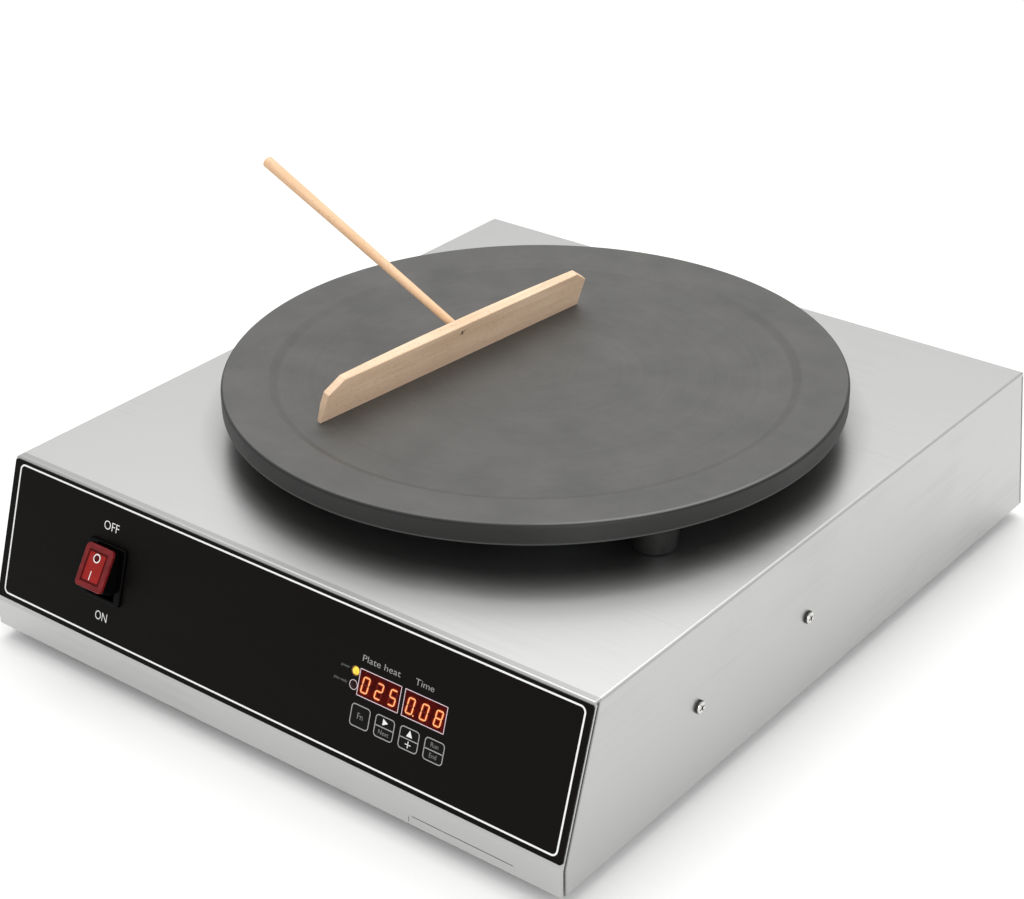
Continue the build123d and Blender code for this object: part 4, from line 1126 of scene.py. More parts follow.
class Finishes(Enum):
    """Every finish on the crepe maker; a node's own is under its slot's name."""

    # Belt-brushed stainless sheet: soft streaks along each face, with painted shade on
    # the
    #     upright faces, along the front fold and beside the front seams, and a painted
    #     shadow under the plate.
    brushed_steel_housing = BrushedSheet(
        "brushed_stainless_sheet", "#D5D5D4", "#C4C4C3", 0.34, 0.05, 1.0,
        relief_mm=0.004,
    )
    # Hot-dip zinc on sheet steel: flat grey crystals, duller than the housing.
    zinc_sheet = SpangledSheet(
        "zinc_coated_sheet", "#B4B7B9", "#9DA1A4", 0.42, 0.08, 1.0, relief_mm=0.003
    )
    # Moulded rubber: a matt near-black that hardly shines.
    foot_rubber = Moulded("moulded_black_rubber", "#1F1F1F", "#151515", 0.8)
    # Zinc-plated steel: a cool grey shine with small stains.
    plated_screw = TurnedMetal(
        "zinc_plated_fastener", "#BDBFC2", "#989BA0", 0.32, 0.08, 1.0, relief_mm=0.006
    )
    # Turned stainless: bright face, with painted shade on the flank where the head
    # meets the side.
    steel_screw = TurnedMetal(
        "bright_stainless_screw", "#EDECE9", "#C9C8C4", 0.24, 0.06, 1.0,
        relief_mm=0.004, flank=0.1,
    )
    # Sprayed and baked over a blasted casting: soft dark grey with orange peel.
    coated_casting = SprayedCasting(
        "sprayed_nonstick_casting", "#565553", "#4B4B49", 0.5, 0.05, specular=0.4,
        relief_mm=0.02,
    )
    # Sand-cast and painted: rough and nearly black in the plate's shade.
    coated_leg = Moulded(
        "rough_dark_casting", "#1C1C1B", "#0F0F0E", 0.5, 0.08, specular=0.3,
        relief_mm=0.15, grain_mm=1.4,
    )
    # Steel tube that has been red hot: brown oxide in cloudy patches.
    element_tube = TurnedMetal(
        "oxidised_heater_tube", "#7B7268", "#4A4440", 0.45, 0.1, 1.0, stain_mm=12.0
    )
    # Pressed and fired steatite: chalky off-white.
    white_ceramic = Moulded("pressed_white_ceramic", "#EEEBE2", "#DCD8CC", 0.7)
    # Turned brass: a warm yellow shine.
    brass_bush = TurnedMetal("turned_brass", "#C9A35B", "#A5813F", 0.3, 0.08, 1.0)
    # Moulded phenolic: charcoal with a slight sheen.
    dark_moulding = Moulded("moulded_dark_phenolic", "#2C2C2E", "#202022", 0.55)
    # Moulded nylon: deep black with a faint sheen.
    black_moulding = Moulded(
        "moulded_black_nylon", "#060606", "#040404", 0.34, specular=0.12
    )
    # Moulded in a polished tool: the blackest part, which fades into the film.
    polished_bezel = Moulded(
        "moulded_black_bezel", "#040404", "#030303", 0.24, specular=0.06
    )
    # Polyester film with black ink on its back: satin black that smears softly.
    panel_film = BlackFilm(
        "printed_black_film", "#100E0D", "#0D0B0A", 0.42, 0.04, specular=0.05,
        relief_mm=0.002,
    )
    # The same film, domed over a key: a shade lighter.
    key_film = BlackFilm(
        "printed_black_key_film", "#11100F", "#0E0E0D", 0.4, 0.04, specular=0.07,
        relief_mm=0.002,
    )
    # Moulded red polycarbonate: dark cherry where nothing lights it.
    red_lens = TintedLens(
        "moulded_red_polycarbonate", "#7C1E20", "#611417", 0.26, 0.04, specular=0.25
    )
    # Its thinner middle: brighter, for light gets through.
    red_window = TintedLens(
        "bright_red_polycarbonate", "#951D1A", "#881812", 0.28, 0.04, specular=0.2,
        patch_mm=9.0,
    )
    # Its moulded groove: a nearly black red line.
    red_groove = TintedLens(
        "shaded_red_groove", "#56100F", "#470C0D", 0.4, specular=0.1
    )
    # Smoked red acrylic: nearly black round the lit bars.
    display_face = TintedLens(
        "dark_red_filter", "#500903", "#360505", 0.3, 0.03, specular=0.03
    )
    # Diffusing amber epoxy over a lit chip: a warm yellow bead.
    amber_lamp = TintedLens(
        "lit_amber_lamp", "#E8BC3C", "#DC9E1C", 0.3, glow="#FFD84E", power=0.52,
        patch_mm=1.8,
    )
    # The same epoxy, tinted red and unlit: a dark bead.
    dark_lamp = TintedLens(
        "unlit_dark_lamp", "#2A0F0F", "#160808", 0.25, specular=0.12, patch_mm=2.0
    )
    # Lit epoxy bar, where its chip shows through: pale orange.
    lit_core = TintedLens(
        "lit_segment_core", "#3A1408", "#3A1408", 0.4, specular=0.0, glow="#FFC98C",
        power=1.15,
    )
    # The bar round its chip: deep orange.
    lit_halo = TintedLens(
        "lit_segment_halo", "#2A0804", "#2A0804", 0.4, specular=0.0, glow="#E65320",
        power=0.9,
    )
    # Light that spreads in the filter beside a bar: a dim red edge.
    lit_bloom = TintedLens(
        "lit_segment_bloom", "#2A0603", "#2A0603", 0.4, specular=0.0, glow="#9A2A12",
        power=0.8,
    )
    # An unlit bar under the filter: a brown red that is just seen.
    unlit_segment = TintedLens(
        "unlit_segment", "#721C10", "#5E140C", 0.4, specular=0.05
    )
    # Solder mask over copper: bottle green with raised tracks.
    circuit_board = MaskedBoard(
        "green_masked_board", "#2E7A45", "#155A2C", 0.35, relief_mm=0.03
    )
    # Moulded natural nylon: milky white.
    white_nylon = Moulded("moulded_white_nylon", "#E6E5E0", "#D6D4CD", 0.5)
    # Moulded relay case: plain mid blue.
    relay_case = Moulded("moulded_blue_relay_case", "#2C5A9E", "#214A86", 0.4)
    # Extruded aluminium: a soft silver grey.
    sink_aluminium = TurnedMetal(
        "extruded_aluminium", "#B9BBBD", "#9C9FA2", 0.38, 0.06, 1.0, relief_mm=0.01
    )
    # Braided glass fibre: matt cream with a woven relief.
    lead_sleeve = BraidedSleeve(
        "braided_glass_sleeve", "#E2DFD4", "#B7B3A5", 0.8, relief_mm=0.15
    )
    # Planed beech: pale, close grained, darker where batter soaks its lower edge.
    pale_wood = PlanedWood(
        "planed_pale_beech", "#F0D5B8", "#D8B797", 0.62, 0.05, specular=0.25,
        relief_mm=0.03, grain=(0.0924, 0.9957, 0.0), soaked_mm=158.0,
    )
    # Turned beech dowel, oiled by hands: warmer and smoother.
    warm_wood = PlanedWood(
        "turned_warm_dowel", "#EAC5A0", "#DBAE86", 0.52, 0.05, specular=0.3,
        relief_mm=0.02, grain=(-0.9296, 0.0863, 0.3584),
    )
    # Beech crushed by the pin: dark dents.
    dented_wood = PlanedWood(
        "crushed_wood_fibre", "#6E5A48", "#57463A", 0.8, 0.05, specular=0.15,
        relief_mm=0.03, grain=(0.0924, 0.9957, 0.0),
    )
    # Screen inks: opaque and matt, a little uneven where the mesh let them through.
    white_ink = EvenGrain("white_screen_ink", "#F2F2F0", "#E4E4E2", 0.45)
    grey_ink = EvenGrain("grey_screen_ink", "#A2A2A0", "#929290", 0.45)
    key_ink = EvenGrain("key_screen_ink", "#868684", "#787876", 0.45)
    dim_ink = EvenGrain("dim_screen_ink", "#747472", "#646462", 0.45)
    amber_ink = EvenGrain("amber_lamp_line", "#8C6A34", "#6E5226", 0.45)
    pink_ink = EvenGrain("pinkish_display_line", "#E2CDD4", "#D2BCC4", 0.45)
    # The shaded edge of the bare plate on the lip: a thin dull grey line.
    plate_edge = EvenGrain("shaded_plate_edge", "#5C5C5A", "#4E4E4C", 0.6)
    # Seamless studio paper: matt white with a faint fibre.
    paper_floor = EvenGrain(
        "pale_paper_floor", "#F4F4F3", "#F1F1F0", 0.85, grain_mm=2.0, detail=3.0
    )


# ---------------------------------------------------------------------------
# Meshes
# ---------------------------------------------------------------------------


@dataclass(frozen=True)
class Face:
    """A flat face of the object: x to the right, up the face, out of it.

    Attributes:
        origin: The face's local origin in the row frame, in millimetres.
        across: Direction of local x.
        up: Direction of local y.
    """

    origin: Triple
    across: Triple
    up: Triple

    def matrix(self, x: float = 0.0, up: float = 0.0, out: float = 0.0) -> Matrix:
        """Place a local frame at a point of the face.

        Args:
            x: Distance to the right, in millimetres.
            up: Distance up the face.
            out: Distance out of it.

        Returns:
            The placement, in metres.
        """
        right = Vector(self.across)
        upward = Vector(self.up)
        outward = right.cross(upward)
        spot = Vector(self.origin) + right * x + upward * up + outward * out
        placed = Matrix((right, upward, outward)).transposed().to_4x4()
        placed.translation = spot * MM
        return placed


# The control panel's plane, and the rocker's lens, measured out from its pivot.
PANEL = Face((0.0, -265.0, 27.7), (1.0, 0.0, 0.0), (0.0, 0.31218, 0.95002))
ROCKER = Face((-133.7, -246.41, 73.064), (1.0, 0.0, 0.0), (0.0, 0.54742, 0.83686))


def rounded_rectangle(
    width: float, height: float, corner: float, steps: int = 6
) -> list[Point]:
    """Outline a rounded rectangle about the origin, counterclockwise.

    Args:
        width: Its full width.
        height: Its full height.
        corner: Radius of its corners.
        steps: Edges that draw one corner.

    Returns:
        The outline's points.
    """
    outline = []
    for quarter, (side, end) in enumerate(((1, 1), (-1, 1), (-1, -1), (1, -1))):
        for step in range(steps + 1):
            angle = math.radians(90 * quarter + 90 * step / steps)
            outline.append(
                (
                    side * (width / 2 - corner) + corner * math.cos(angle),
                    end * (height / 2 - corner) + corner * math.sin(angle),
                )
            )
    return outline


def circle(radius: float, steps: int = 32) -> list[Point]:
    """Outline a circle about the origin, counterclockwise."""
    angles = (2 * math.pi * step / steps for step in range(steps))
    return [(radius * math.cos(angle), radius * math.sin(angle)) for angle in angles]


def bar(start: Point, end: Point, width: float) -> list[Point]:
    """Outline a straight bar with pointed ends, as on a segment display.

    Args:
        start: The point of one end.
        end: The point of the other end.
        width: The bar's width.

    Returns:
        The outline's points, counterclockwise.
    """
    first, last = Vector(start), Vector(end)
    along = (last - first).normalized() * width / 2
    side = Vector((-along.y, along.x))
    corners = (
        first,
        first + along - side,
        last - along - side,
        last,
        last - along + side,
        first + along + side,
    )
    return [(corner.x, corner.y) for corner in corners]


def shifted(outline: Sequence[Point], x: float, up: float) -> list[Point]:
    """Move an outline by x and up."""
    return [(px + x, py + up) for px, py in outline]


def link_mesh(name: str, mesh: bmesh.types.BMesh) -> bpy.types.Object:
    """Turn a drawn mesh into a linked object, and free it.

    Args:
        name: The object's name, also its mesh's.
        mesh: What is drawn.

    Returns:
        The linked object.
    """
    data = bpy.data.meshes.new(name)
    mesh.to_mesh(data)
    mesh.free()
    piece = bpy.data.objects.new(name, data)
    bpy.context.scene.collection.objects.link(piece)
    return piece


class Sketch:
    """Flat shapes gathered into one mesh, each a slab between two heights.

    Attributes:
        low: Height of the slabs' undersides over the face, in millimetres.
        high: Height of their tops.
        mesh: The shapes so far.
    """

    def __init__(self, low: float, high: float) -> None:
        """Start an empty sketch between two heights.

        Args:
            low: Height of the undersides, in millimetres.
            high: Height of the tops.
        """
        self.low = low
        self.high = high
        self.mesh = bmesh.new()

    def _loop(
        self, outline: Sequence[Point], height: float
    ) -> list[bmesh.types.BMVert]:
        """Add an outline's points at a height."""
        return [self.mesh.verts.new((x * MM, y * MM, height * MM)) for x, y in outline]

    def slab(self, outline: Sequence[Point]) -> None:
        """Add a filled shape.

        Args:
            outline: Its points, counterclockwise.
        """
        top = self._loop(outline, self.high)
        bottom = self._loop(outline, self.low)
        self.mesh.faces.new(top)
        self.mesh.faces.new(list(reversed(bottom)))
        for index, corner in enumerate(top):
            after = (index + 1) % len(top)
            self.mesh.faces.new((bottom[index], bottom[after], top[after], corner))

    def ring(self, outer: Sequence[Point], inner: Sequence[Point]) -> None:
        """Add the band between two outlines of the same number of points.

        Args:
            outer: The outer outline.
            inner: The inner outline.
        """
        loops = [
            self._loop(outline, height)
            for outline, height in (
                (outer, self.high),
                (inner, self.high),
                (inner, self.low),
                (outer, self.low),
            )
        ]
        for first, second in zip(loops, loops[1:] + loops[:1]):
            for index in range(len(outer)):
                after = (index + 1) % len(outer)
                self.mesh.faces.new(
                    (first[index], first[after], second[after], second[index])
                )

    def finish(self, name: str, place: Matrix) -> bpy.types.Object:
        """Turn the sketch into an object whose place is in its vertices.

        Args:
            name: The piece's name.
            place: Where the sketch's frame stands, in metres.

        Returns:
            The linked object.
        """
        bmesh.ops.recalc_face_normals(self.mesh, faces=self.mesh.faces[:])
        piece = link_mesh(name, self.mesh)
        piece.data.transform(place)
        return piece


class Align(Enum):
    """Which part of a printed word stands at its place."""

    middle = "CENTER"
    right_end = "RIGHT"


@dataclass(frozen=True)
class Word:
    """A word that is printed on the film or on a key.

    Attributes:
        piece: The piece's name.
        text: What is printed.
        x: Its place along the panel, in millimetres.
        up: Its place up the panel.
        cap: Height of a capital letter.
        squeeze: Width of the letters against the typeface's own.
        ink: What it is printed with.
        align: Which part of the word stands at that place.
    """

    piece: str
    text: str
    x: float
    up: float
    cap: float
    squeeze: float
    ink: Finishes
    align: Align = Align.middle


@dataclass(frozen=True)
class Typeface:
    """How the plain built-in type is set.

    Attributes:
        cap_share: Height of a capital against the type size.
        thickness: Half the thickness of the ink, in millimetres.
        thinned: How far each edge draws in, against a capital's height, because
            printed strokes are thinner than the type's.
        curve_steps: Edges that draw one curve of a letter.
    """

    cap_share: float = 0.73
    thickness: float = 0.03
    thinned: float = 0.012
    curve_steps: int = 3

    def set_word(self, word: Word, out: float) -> bpy.types.Object:
        """Set a word as a thin mesh on the panel.

        Args:
            word: The word.
            out: Height of the face that carries it over the panel's plane.

        Returns:
            The linked mesh object.
        """
        curve = bpy.data.curves.new(word.piece, "FONT")
        curve.body = word.text
        curve.size = word.cap * MM / self.cap_share
        curve.extrude = self.thickness * MM
        curve.offset = -self.thinned * word.cap * MM
        curve.resolution_u = self.curve_steps
        curve.align_x = word.align.value
        curve.align_y = "CENTER"
        drawn = bpy.data.objects.new(word.piece + "_type", curve)
        bpy.context.scene.collection.objects.link(drawn)
        bpy.context.view_layer.update()
        data = bpy.data.meshes.new_from_object(drawn)
        bpy.data.objects.remove(drawn)
        bpy.data.curves.remove(curve)
        data.name = word.piece
        data.materials.clear()
        place = PANEL.matrix(word.x, word.up, out)
        data.transform(place @ Matrix.Diagonal((word.squeeze, 1.0, 1.0, 1.0)))
        piece = bpy.data.objects.new(word.piece, data)
        bpy.context.scene.collection.objects.link(piece)
        return piece


# ---------------------------------------------------------------------------
# Sub-assemblies
# ---------------------------------------------------------------------------


class SubAssembly:
    """Part of the crepe maker: dresses its nodes and adds what they lack."""

    body = "base"

    def dress(self, nodes: Iterable[str], finish: Finishes) -> None:
        """Give carried-over nodes a finish.

        Args:
            nodes: Names of the frame's nodes.
            finish: The finish that they take.
        """
        for name in nodes:
            slots = frame["nodes"][name].data.materials
            slots.clear()
            slots.append(finish.value.material())
            log.info("dressed %s with %s", name, finish.value.label)

    def add(
        self,
        piece: bpy.types.Object,
        finish: Finishes,
        slot: str,
        body: str | None = None,
    ) -> bpy.types.Object:
        """Finish a new piece and let it ride on its body.

        Args:
            piece: The piece, in place.
            finish: Its finish.
            slot: The record's material slot that the finish belongs to; not used.
            body: The body that carries it, if not the sub-assembly's own.

        Returns:
            The same piece.
        """
        piece.data.materials.clear()
        piece.data.materials.append(finish.value.material())
        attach(piece, body or self.body)
        log.info("added %s with %s", piece.name, finish.value.label)
        return piece

    def build(self) -> None:
        """Build and dress the sub-assembly."""
        raise NotImplementedError


@dataclass
class Housing(SubAssembly):
    """Folded stainless housing, its base, feet and screws.

    Attributes:
        lip: The front lip, with its origin in the middle of the bare plate.
        plate_width: Width of the bare plate.
        plate_height: Its height.
        plate_corner: Radius of its corners.
        plate_slab: Underside and top of the plate over the lip.
        line_width: Width of the shaded lines along its top and left.
        line_slab: Underside and top of those lines.
        top_short: How far the top line stops short of the left and right end.
        left_short: How far the left line stops short of the lower and upper end.
    """

    lip: Face = Face((155.5, -265.0, 13.5), (1.0, 0.0, 0.0), (0.0, 0.0, 1.0))
    plate_width: float = 75.0
    plate_height: float = 5.4
    plate_corner: float = 0.8
    plate_slab: Point = (-0.05, 0.06)
    line_width: float = 0.45
    line_slab: Point = (-0.05, 0.08)
    top_short: Point = (3.0, 1.0)
    left_short: Point = (0.6, 1.2)

    def build(self) -> None:
        """Dress the sheet metal and fasteners and add the bare plate on the lip."""
        self.dress(["housing_cover"], Finishes.brushed_steel_housing)
        self.dress(["base_plate", "heat_shelf"], Finishes.zinc_sheet)
        self.dress(
            [
                "foot_front_left",
                "foot_front_right",
                "foot_back_left",
                "foot_back_right",
            ],
            Finishes.foot_rubber,
        )
        self.dress(
            ["foot_screws", "foot_nuts", "base_screws", "side_nuts"],
            Finishes.plated_screw,
        )
        self.dress(["side_screws"], Finishes.steel_screw)
        plate = Sketch(*self.plate_slab)
        plate.slab(
            rounded_rectangle(self.plate_width, self.plate_height, self.plate_corner)
        )
        half_x, half_y = self.plate_width / 2, self.plate_height / 2
        (left, right), (lower, upper) = self.top_short, self.left_short
        edge = Sketch(*self.line_slab)
        for low_x, high_x, low_y, high_y in (
            (left - half_x, half_x - right, half_y - self.line_width, half_y),
            (-half_x, self.line_width - half_x, lower - half_y, half_y - upper),
        ):
            edge.slab(
                [(low_x, low_y), (high_x, low_y), (high_x, high_y), (low_x, high_y)]
            )
        for sketch, name, finish in (
            (plate, "blank_lip_plate", Finishes.brushed_steel_housing),
            (edge, "blank_plate_edge", Finishes.plate_edge),
        ):
            piece = sketch.finish(name, self.lip.matrix())
            self.add(piece, finish, "brushed_steel_housing")


@dataclass
class Griddle(SubAssembly):
    """Cast cooking plate with its legs, element and probe.

    Attributes:
        centre: The plate's axis.
        radius: Radius of its rim.
        top: Height of the rim's top.
        top_round: Rounding of the rim's upper edge.
        bottom: Height of the rim's underside.
        bottom_round: Rounding of the rim's lower edge.
        bottom_turn: Angle at which the coat ends under the lower edge, in degrees.
        coat: How far the coat stands off the rim.
        coat_from: Radius at which the coat starts, sunk in the ring.
        coat_sunk: How deep it starts.
        coat_taper: Width over which it comes out.
        coat_inside: How deep its hidden inner side lies.
        arc_steps: Edges that draw one rounding.
        around: Edges that draw the full turn.
        sharp_from: Angle from which an edge of the coat stays sharp, in degrees.
    """

    centre: Point = (0.0, 5.5)
    radius: float = 200.0
    top: float = 151.2
    top_round: float = 2.4
    bottom: float = 138.0
    bottom_round: float = 1.6
    bottom_turn: float = -74.0
    coat: float = 0.03
    coat_from: float = 186.0
    coat_sunk: float = 0.04
    coat_taper: float = 7.0
    coat_inside: float = 0.25
    arc_steps: int = 8
    around: int = 288
    sharp_from: float = 40.0

    def build(self) -> None:
        """Dress the casting and everything under it, and coat its rim."""
        self.dress(["griddle"], Finishes.coated_casting)
        self.add(self.coat_rim(), Finishes.coated_casting, "coated_casting")
        self.dress(
            ["leg_front_right", "leg_back", "leg_front_left"], Finishes.coated_leg
        )
        self.dress(
            ["leg_studs", "leg_washers", "leg_nuts", "element_pins", "cover_bolts"],
            Finishes.plated_screw,
        )
        self.dress(["heating_element", "temperature_probe"], Finishes.element_tube)
        self.dress(["element_bushes"], Finishes.white_ceramic)
        self.dress(["element_cover"], Finishes.zinc_sheet)
        self.dress(["probe_bush"], Finishes.brass_bush)

    def section(self, coat: float) -> list[Point]:
        """Draw half a section of the rim's skin, from the ring to the lower edge.

        Args:
            coat: How far the skin stands off the casting.

        Returns:
            Radius and height of each point, in millimetres.
        """
        points = [
            (self.coat_from, self.top - self.coat_sunk + min(coat, 0.0)),
            (self.coat_from + self.coat_taper, self.top + coat),
        ]
        for rounding, middle_z, first, last in (
            (self.top_round, self.top - self.top_round, 90, 0),
            (self.bottom_round, self.bottom + self.bottom_round, 0, self.bottom_turn),
        ):
            for step in range(self.arc_steps + 1):
                angle = math.radians(first + (last - first) * step / self.arc_steps)
                across = self.radius - rounding + (rounding + coat) * math.cos(angle)
                points.append((across, middle_z + (rounding + coat) * math.sin(angle)))
        return points

    def coat_rim(self) -> bpy.types.Object:
        """Turn the sprayed coat over the rim as one smooth thin skin.

        Returns:
            The linked object.
        """
        outline = self.section(self.coat) + self.section(-self.coat_inside)[::-1]
        mesh = bmesh.new()
        rows = []
        for step in range(self.around):
            angle = 2 * math.pi * step / self.around
            rows.append(
                [
                    mesh.verts.new(
                        (
                            (self.centre[0] + r * math.cos(angle)) * MM,
                            (self.centre[1] + r * math.sin(angle)) * MM,
                            z * MM,
                        )
                    )
                    for r, z in outline
                ]
            )
        for row, following in zip(rows, rows[1:] + rows[:1]):
            for index in range(len(outline)):
                after = (index + 1) % len(outline)
                mesh.faces.new(
                    (row[index], following[index], following[after], row[after])
                )
        bmesh.ops.recalc_face_normals(mesh, faces=mesh.faces[:])
        coat = link_mesh("griddle_rim_coat", mesh)
        coat.data.shade_smooth()
        coat.data.set_sharp_from_angle(angle=math.radians(self.sharp_from))
        return coat


@dataclass
class Electronics(SubAssembly):
    """Boards, switchgear and wiring inside the housing."""

    def build(self) -> None:
        """Dress the inner parts."""
        self.dress(["control_board", "power_board"], Finishes.circuit_board)
        self.dress(
            ["transformer", "triac", "thermal_cutout", "key_switches"],
            Finishes.dark_moulding,
        )
        self.dress(["relay"], Finishes.relay_case)
        self.dress(["heat_sink"], Finishes.sink_aluminium)
        self.dress(
            ["heater_terminals", "mains_terminals", "board_spacers"],
            Finishes.white_nylon,
        )
        self.dress(["board_standoffs"], Finishes.plated_screw)
        self.dress(["cable_gland", "gland_locknut"], Finishes.black_moulding)
        self.dress(["element_leads", "mains_leads"], Finishes.lead_sleeve)


# Underside and top of a printed line over its face, in millimetres.
INK: Point = (-0.03, 0.05)
THIN_INK: Point = (-0.03, 0.04)

# Which bars of a digit glow: top, upper right, lower right, bottom, lower left,
# upper left, middle.
LIT_BARS = {"0": "abcdef", "2": "abged", "5": "afgcd", "8": "abcdefg"}

# Words beside the switch, over the displays and beside the lamps.
FILM_WORDS = (
    Word("off_word", "OFF", -134.2, 77.2, 6.0, 0.93, Finishes.white_ink),
    Word("on_word", "ON", -132.2, 20.0, 6.0, 0.84, Finishes.white_ink),
    Word("heat_word", "Plate heat", 85.0, 66.3, 4.1, 1.26, Finishes.grey_ink),
    Word("time_word", "Time", 116.5, 66.3, 4.0, 1.22, Finishes.grey_ink),
    Word(
        "power_word", "power", 63.6, 58.0, 1.9, 0.95, Finishes.dim_ink, Align.right_end
    ),
    Word(
        "ready_word", "plate ready", 63.2, 49.2, 1.9, 0.85, Finishes.dim_ink,
        Align.right_end,
    ),
)

# Words on the keys, each with the height of a capital and its place up the key.
KEY_WORDS: dict[str, tuple[tuple[str, float, float], ...]] = {
    "set_key": (("Fn", 4.0, 0.0),),
    "right_key": (("Next", 3.0, -3.2),),
    "up_key": (),
    "start_key": (("Run", 3.0, 3.1), ("End", 3.0, -3.1)),
}

# Arrows and the plus on the keys, as outlines about the key's middle.
KEY_SHAPES: dict[str, list[list[Point]]] = {
    "right_key": [[(-1.6, 1.2), (2.2, 3.2), (-1.6, 5.2)]],
    "up_key": [
        [(-2.1, 1.4), (2.1, 1.4), (0.0, 5.4)],
        [(-2.0, -3.35), (2.0, -3.35), (2.0, -2.85), (-2.0, -2.85)],
        [(-0.25, -5.1), (0.25, -5.1), (0.25, -1.1), (-0.25, -1.1)],
    ],
}


@dataclass
class ControlPanel(SubAssembly):
    """Printed film with two segment displays, two lamps and four keys.

    Attributes:
        film_out: Height of the film's face over the panel's plane.
        border: Width, height and corner of the white line round the film.
        border_middle: Its middle.
        border_line: Its width.
        displays: Where each display's middle is along the panel, and what it
            shows; a point follows the digit before it.
        display_up: Middle of both displays, up the panel.
        display_out: Height of a display's face.
        display_size: Width and height of the printed outline.
        display_corners: Outer and inner corner of that outline.
        display_line: Its width.
        digit_size: Width and height of a digit.
        digit_pitch: Distance between two digits.
        digit_drop: How far the digits sit under the display's middle.
        digit_slant: How far a digit leans per height.
        bar_width: Width of a digit's bar.
        bloom_wider: What the bloom of a lit bar is wider than the bar.
        glow_wider: What its glow is wider.
        core_share: Width of its bright core against the bar's.
        layer_tops: Heights of the unlit bars, bloom, glow and core over the
            display's face; each stands a little over the one before, so that it
            shows.
        point_away: Where a point stands from its digit's lower right bar end.
        point_radii: Radius of an unlit point, of a lit one and of its core.
        lamp_x: Middle of both lamps along the panel.
        lamps: Middle of each lamp, up the panel, and the ink of its ring.
        lamp_ring: Outer and inner radius of the ring round a lamp.
        keys: The keys' nodes, which are also their bodies, from the left.
        key_first_x: Middle of the first key along the panel.
        key_pitch: Distance between two keys.
        key_up: Middle of the keys, up the panel.
        key_out: Height of a key's face.
        key_size: Width, height and corner of a key's outline.
        key_line: Width of that outline.
        key_squeeze: Width of the letters on a key against the typeface's own.
        typeface: The type that all the words are set in.
    """

    film_out: float = 0.8
    border: Triple = (439.8, 86.0, 4.0)
    border_middle: Point = (0.6, 49.6)
    border_line: float = 1.1
    displays: dict[str, tuple[float, str]] = field(
        default_factory=lambda: {
            "temperature": (86.3, "025"),
            "timer": (119.2, "0.08"),
        }
    )
    display_up: float = 52.2
    display_out: float = 0.7
    display_size: Point = (30.5, 16.2)
    display_corners: Point = (0.3, 0.1)
    display_line: float = 0.45
    digit_size: Point = (5.5, 10.4)
    digit_pitch: float = 10.0
    digit_drop: float = 0.7
    digit_slant: float = 0.14
    bar_width: float = 1.2
    bloom_wider: float = 1.1
    glow_wider: float = 0.2
    core_share: float = 0.55
    layer_tops: tuple[float, ...] = (0.01, 0.015, 0.02, 0.03)
    point_away: Point = (1.35, -0.2)
    point_radii: Triple = (0.45, 0.62, 0.42)
    lamp_x: float = 68.0
    lamps: dict[str, tuple[float, Finishes]] = field(
        default_factory=lambda: {
            "heat": (57.4, Finishes.amber_ink),
            "warm": (49.1, Finishes.pink_ink),
        }
    )
    lamp_ring: Point = (3.0, 2.6)
    keys: tuple[str, ...] = ("set_key", "right_key", "up_key", "start_key")
    key_first_x: float = 76.5
    key_pitch: float = 17.9
    key_up: float = 32.7
    key_out: float = 0.95
    key_size: Triple = (14.1, 13.4, 2.45)
    key_line: float = 0.6
    key_squeeze: float = 0.9
    typeface: Typeface = Typeface()

    def build(self) -> None:
        """Dress the panel's nodes and print the film, displays and keys."""
        self.dress(["control_panel"], Finishes.panel_film)
        self.dress(["temperature_display", "timer_display"], Finishes.display_face)
        self.dress(["heat_lamp"], Finishes.amber_lamp)
        self.dress(["keep_warm_lamp"], Finishes.dark_lamp)
        self.dress(self.keys, Finishes.key_film)
        self.print_border()
        for word in FILM_WORDS:
            piece = self.typeface.set_word(word, self.film_out)
            self.add(piece, word.ink, "panel_film")
        self.print_lamps()
        for name, (x, digits) in self.displays.items():
            self.outline_display(name, x)
            self.light_display(name, x, digits)
        for index, name in enumerate(self.keys):
            self.print_key(name, self.key_first_x + index * self.key_pitch)

    def print_border(self) -> None:
        """Print the white line round the film."""
        width, height, corner = self.border
        inset = self.border_line
        line = Sketch(*INK)
        line.ring(
            rounded_rectangle(width, height, corner, steps=10),
            rounded_rectangle(
                width - 2 * inset, height - 2 * inset, corner - inset, steps=10
            ),
        )
        place = PANEL.matrix(*self.border_middle, self.film_out)
        self.add(line.finish("border_line", place), Finishes.white_ink, "panel_film")

    def print_lamps(self) -> None:
        """Print the rings round the two lamps."""
        outer, inner = self.lamp_ring
        for name, (up, ink) in self.lamps.items():
            line = Sketch(*INK)
            line.ring(circle(outer), circle(inner))
            place = PANEL.matrix(self.lamp_x, up, self.film_out)
            self.add(line.finish(f"{name}_lamp_ring", place), ink, "panel_film")

    def outline_display(self, name: str, x: float) -> None:
        """Print the outline round a display.

        Args:
            name: Which display it is.
            x: Its middle along the panel.
        """
        width, height = self.display_size
        outer, inner = self.display_corners
        inset = 2 * self.display_line
        line = Sketch(*INK)
        line.ring(
            rounded_rectangle(width, height, outer, steps=2),
            rounded_rectangle(width - inset, height - inset, inner, steps=2),
        )
        place = PANEL.matrix(x, self.display_up, self.film_out)
        self.add(line.finish(f"{name}_outline", place), Finishes.pink_ink, "panel_film")

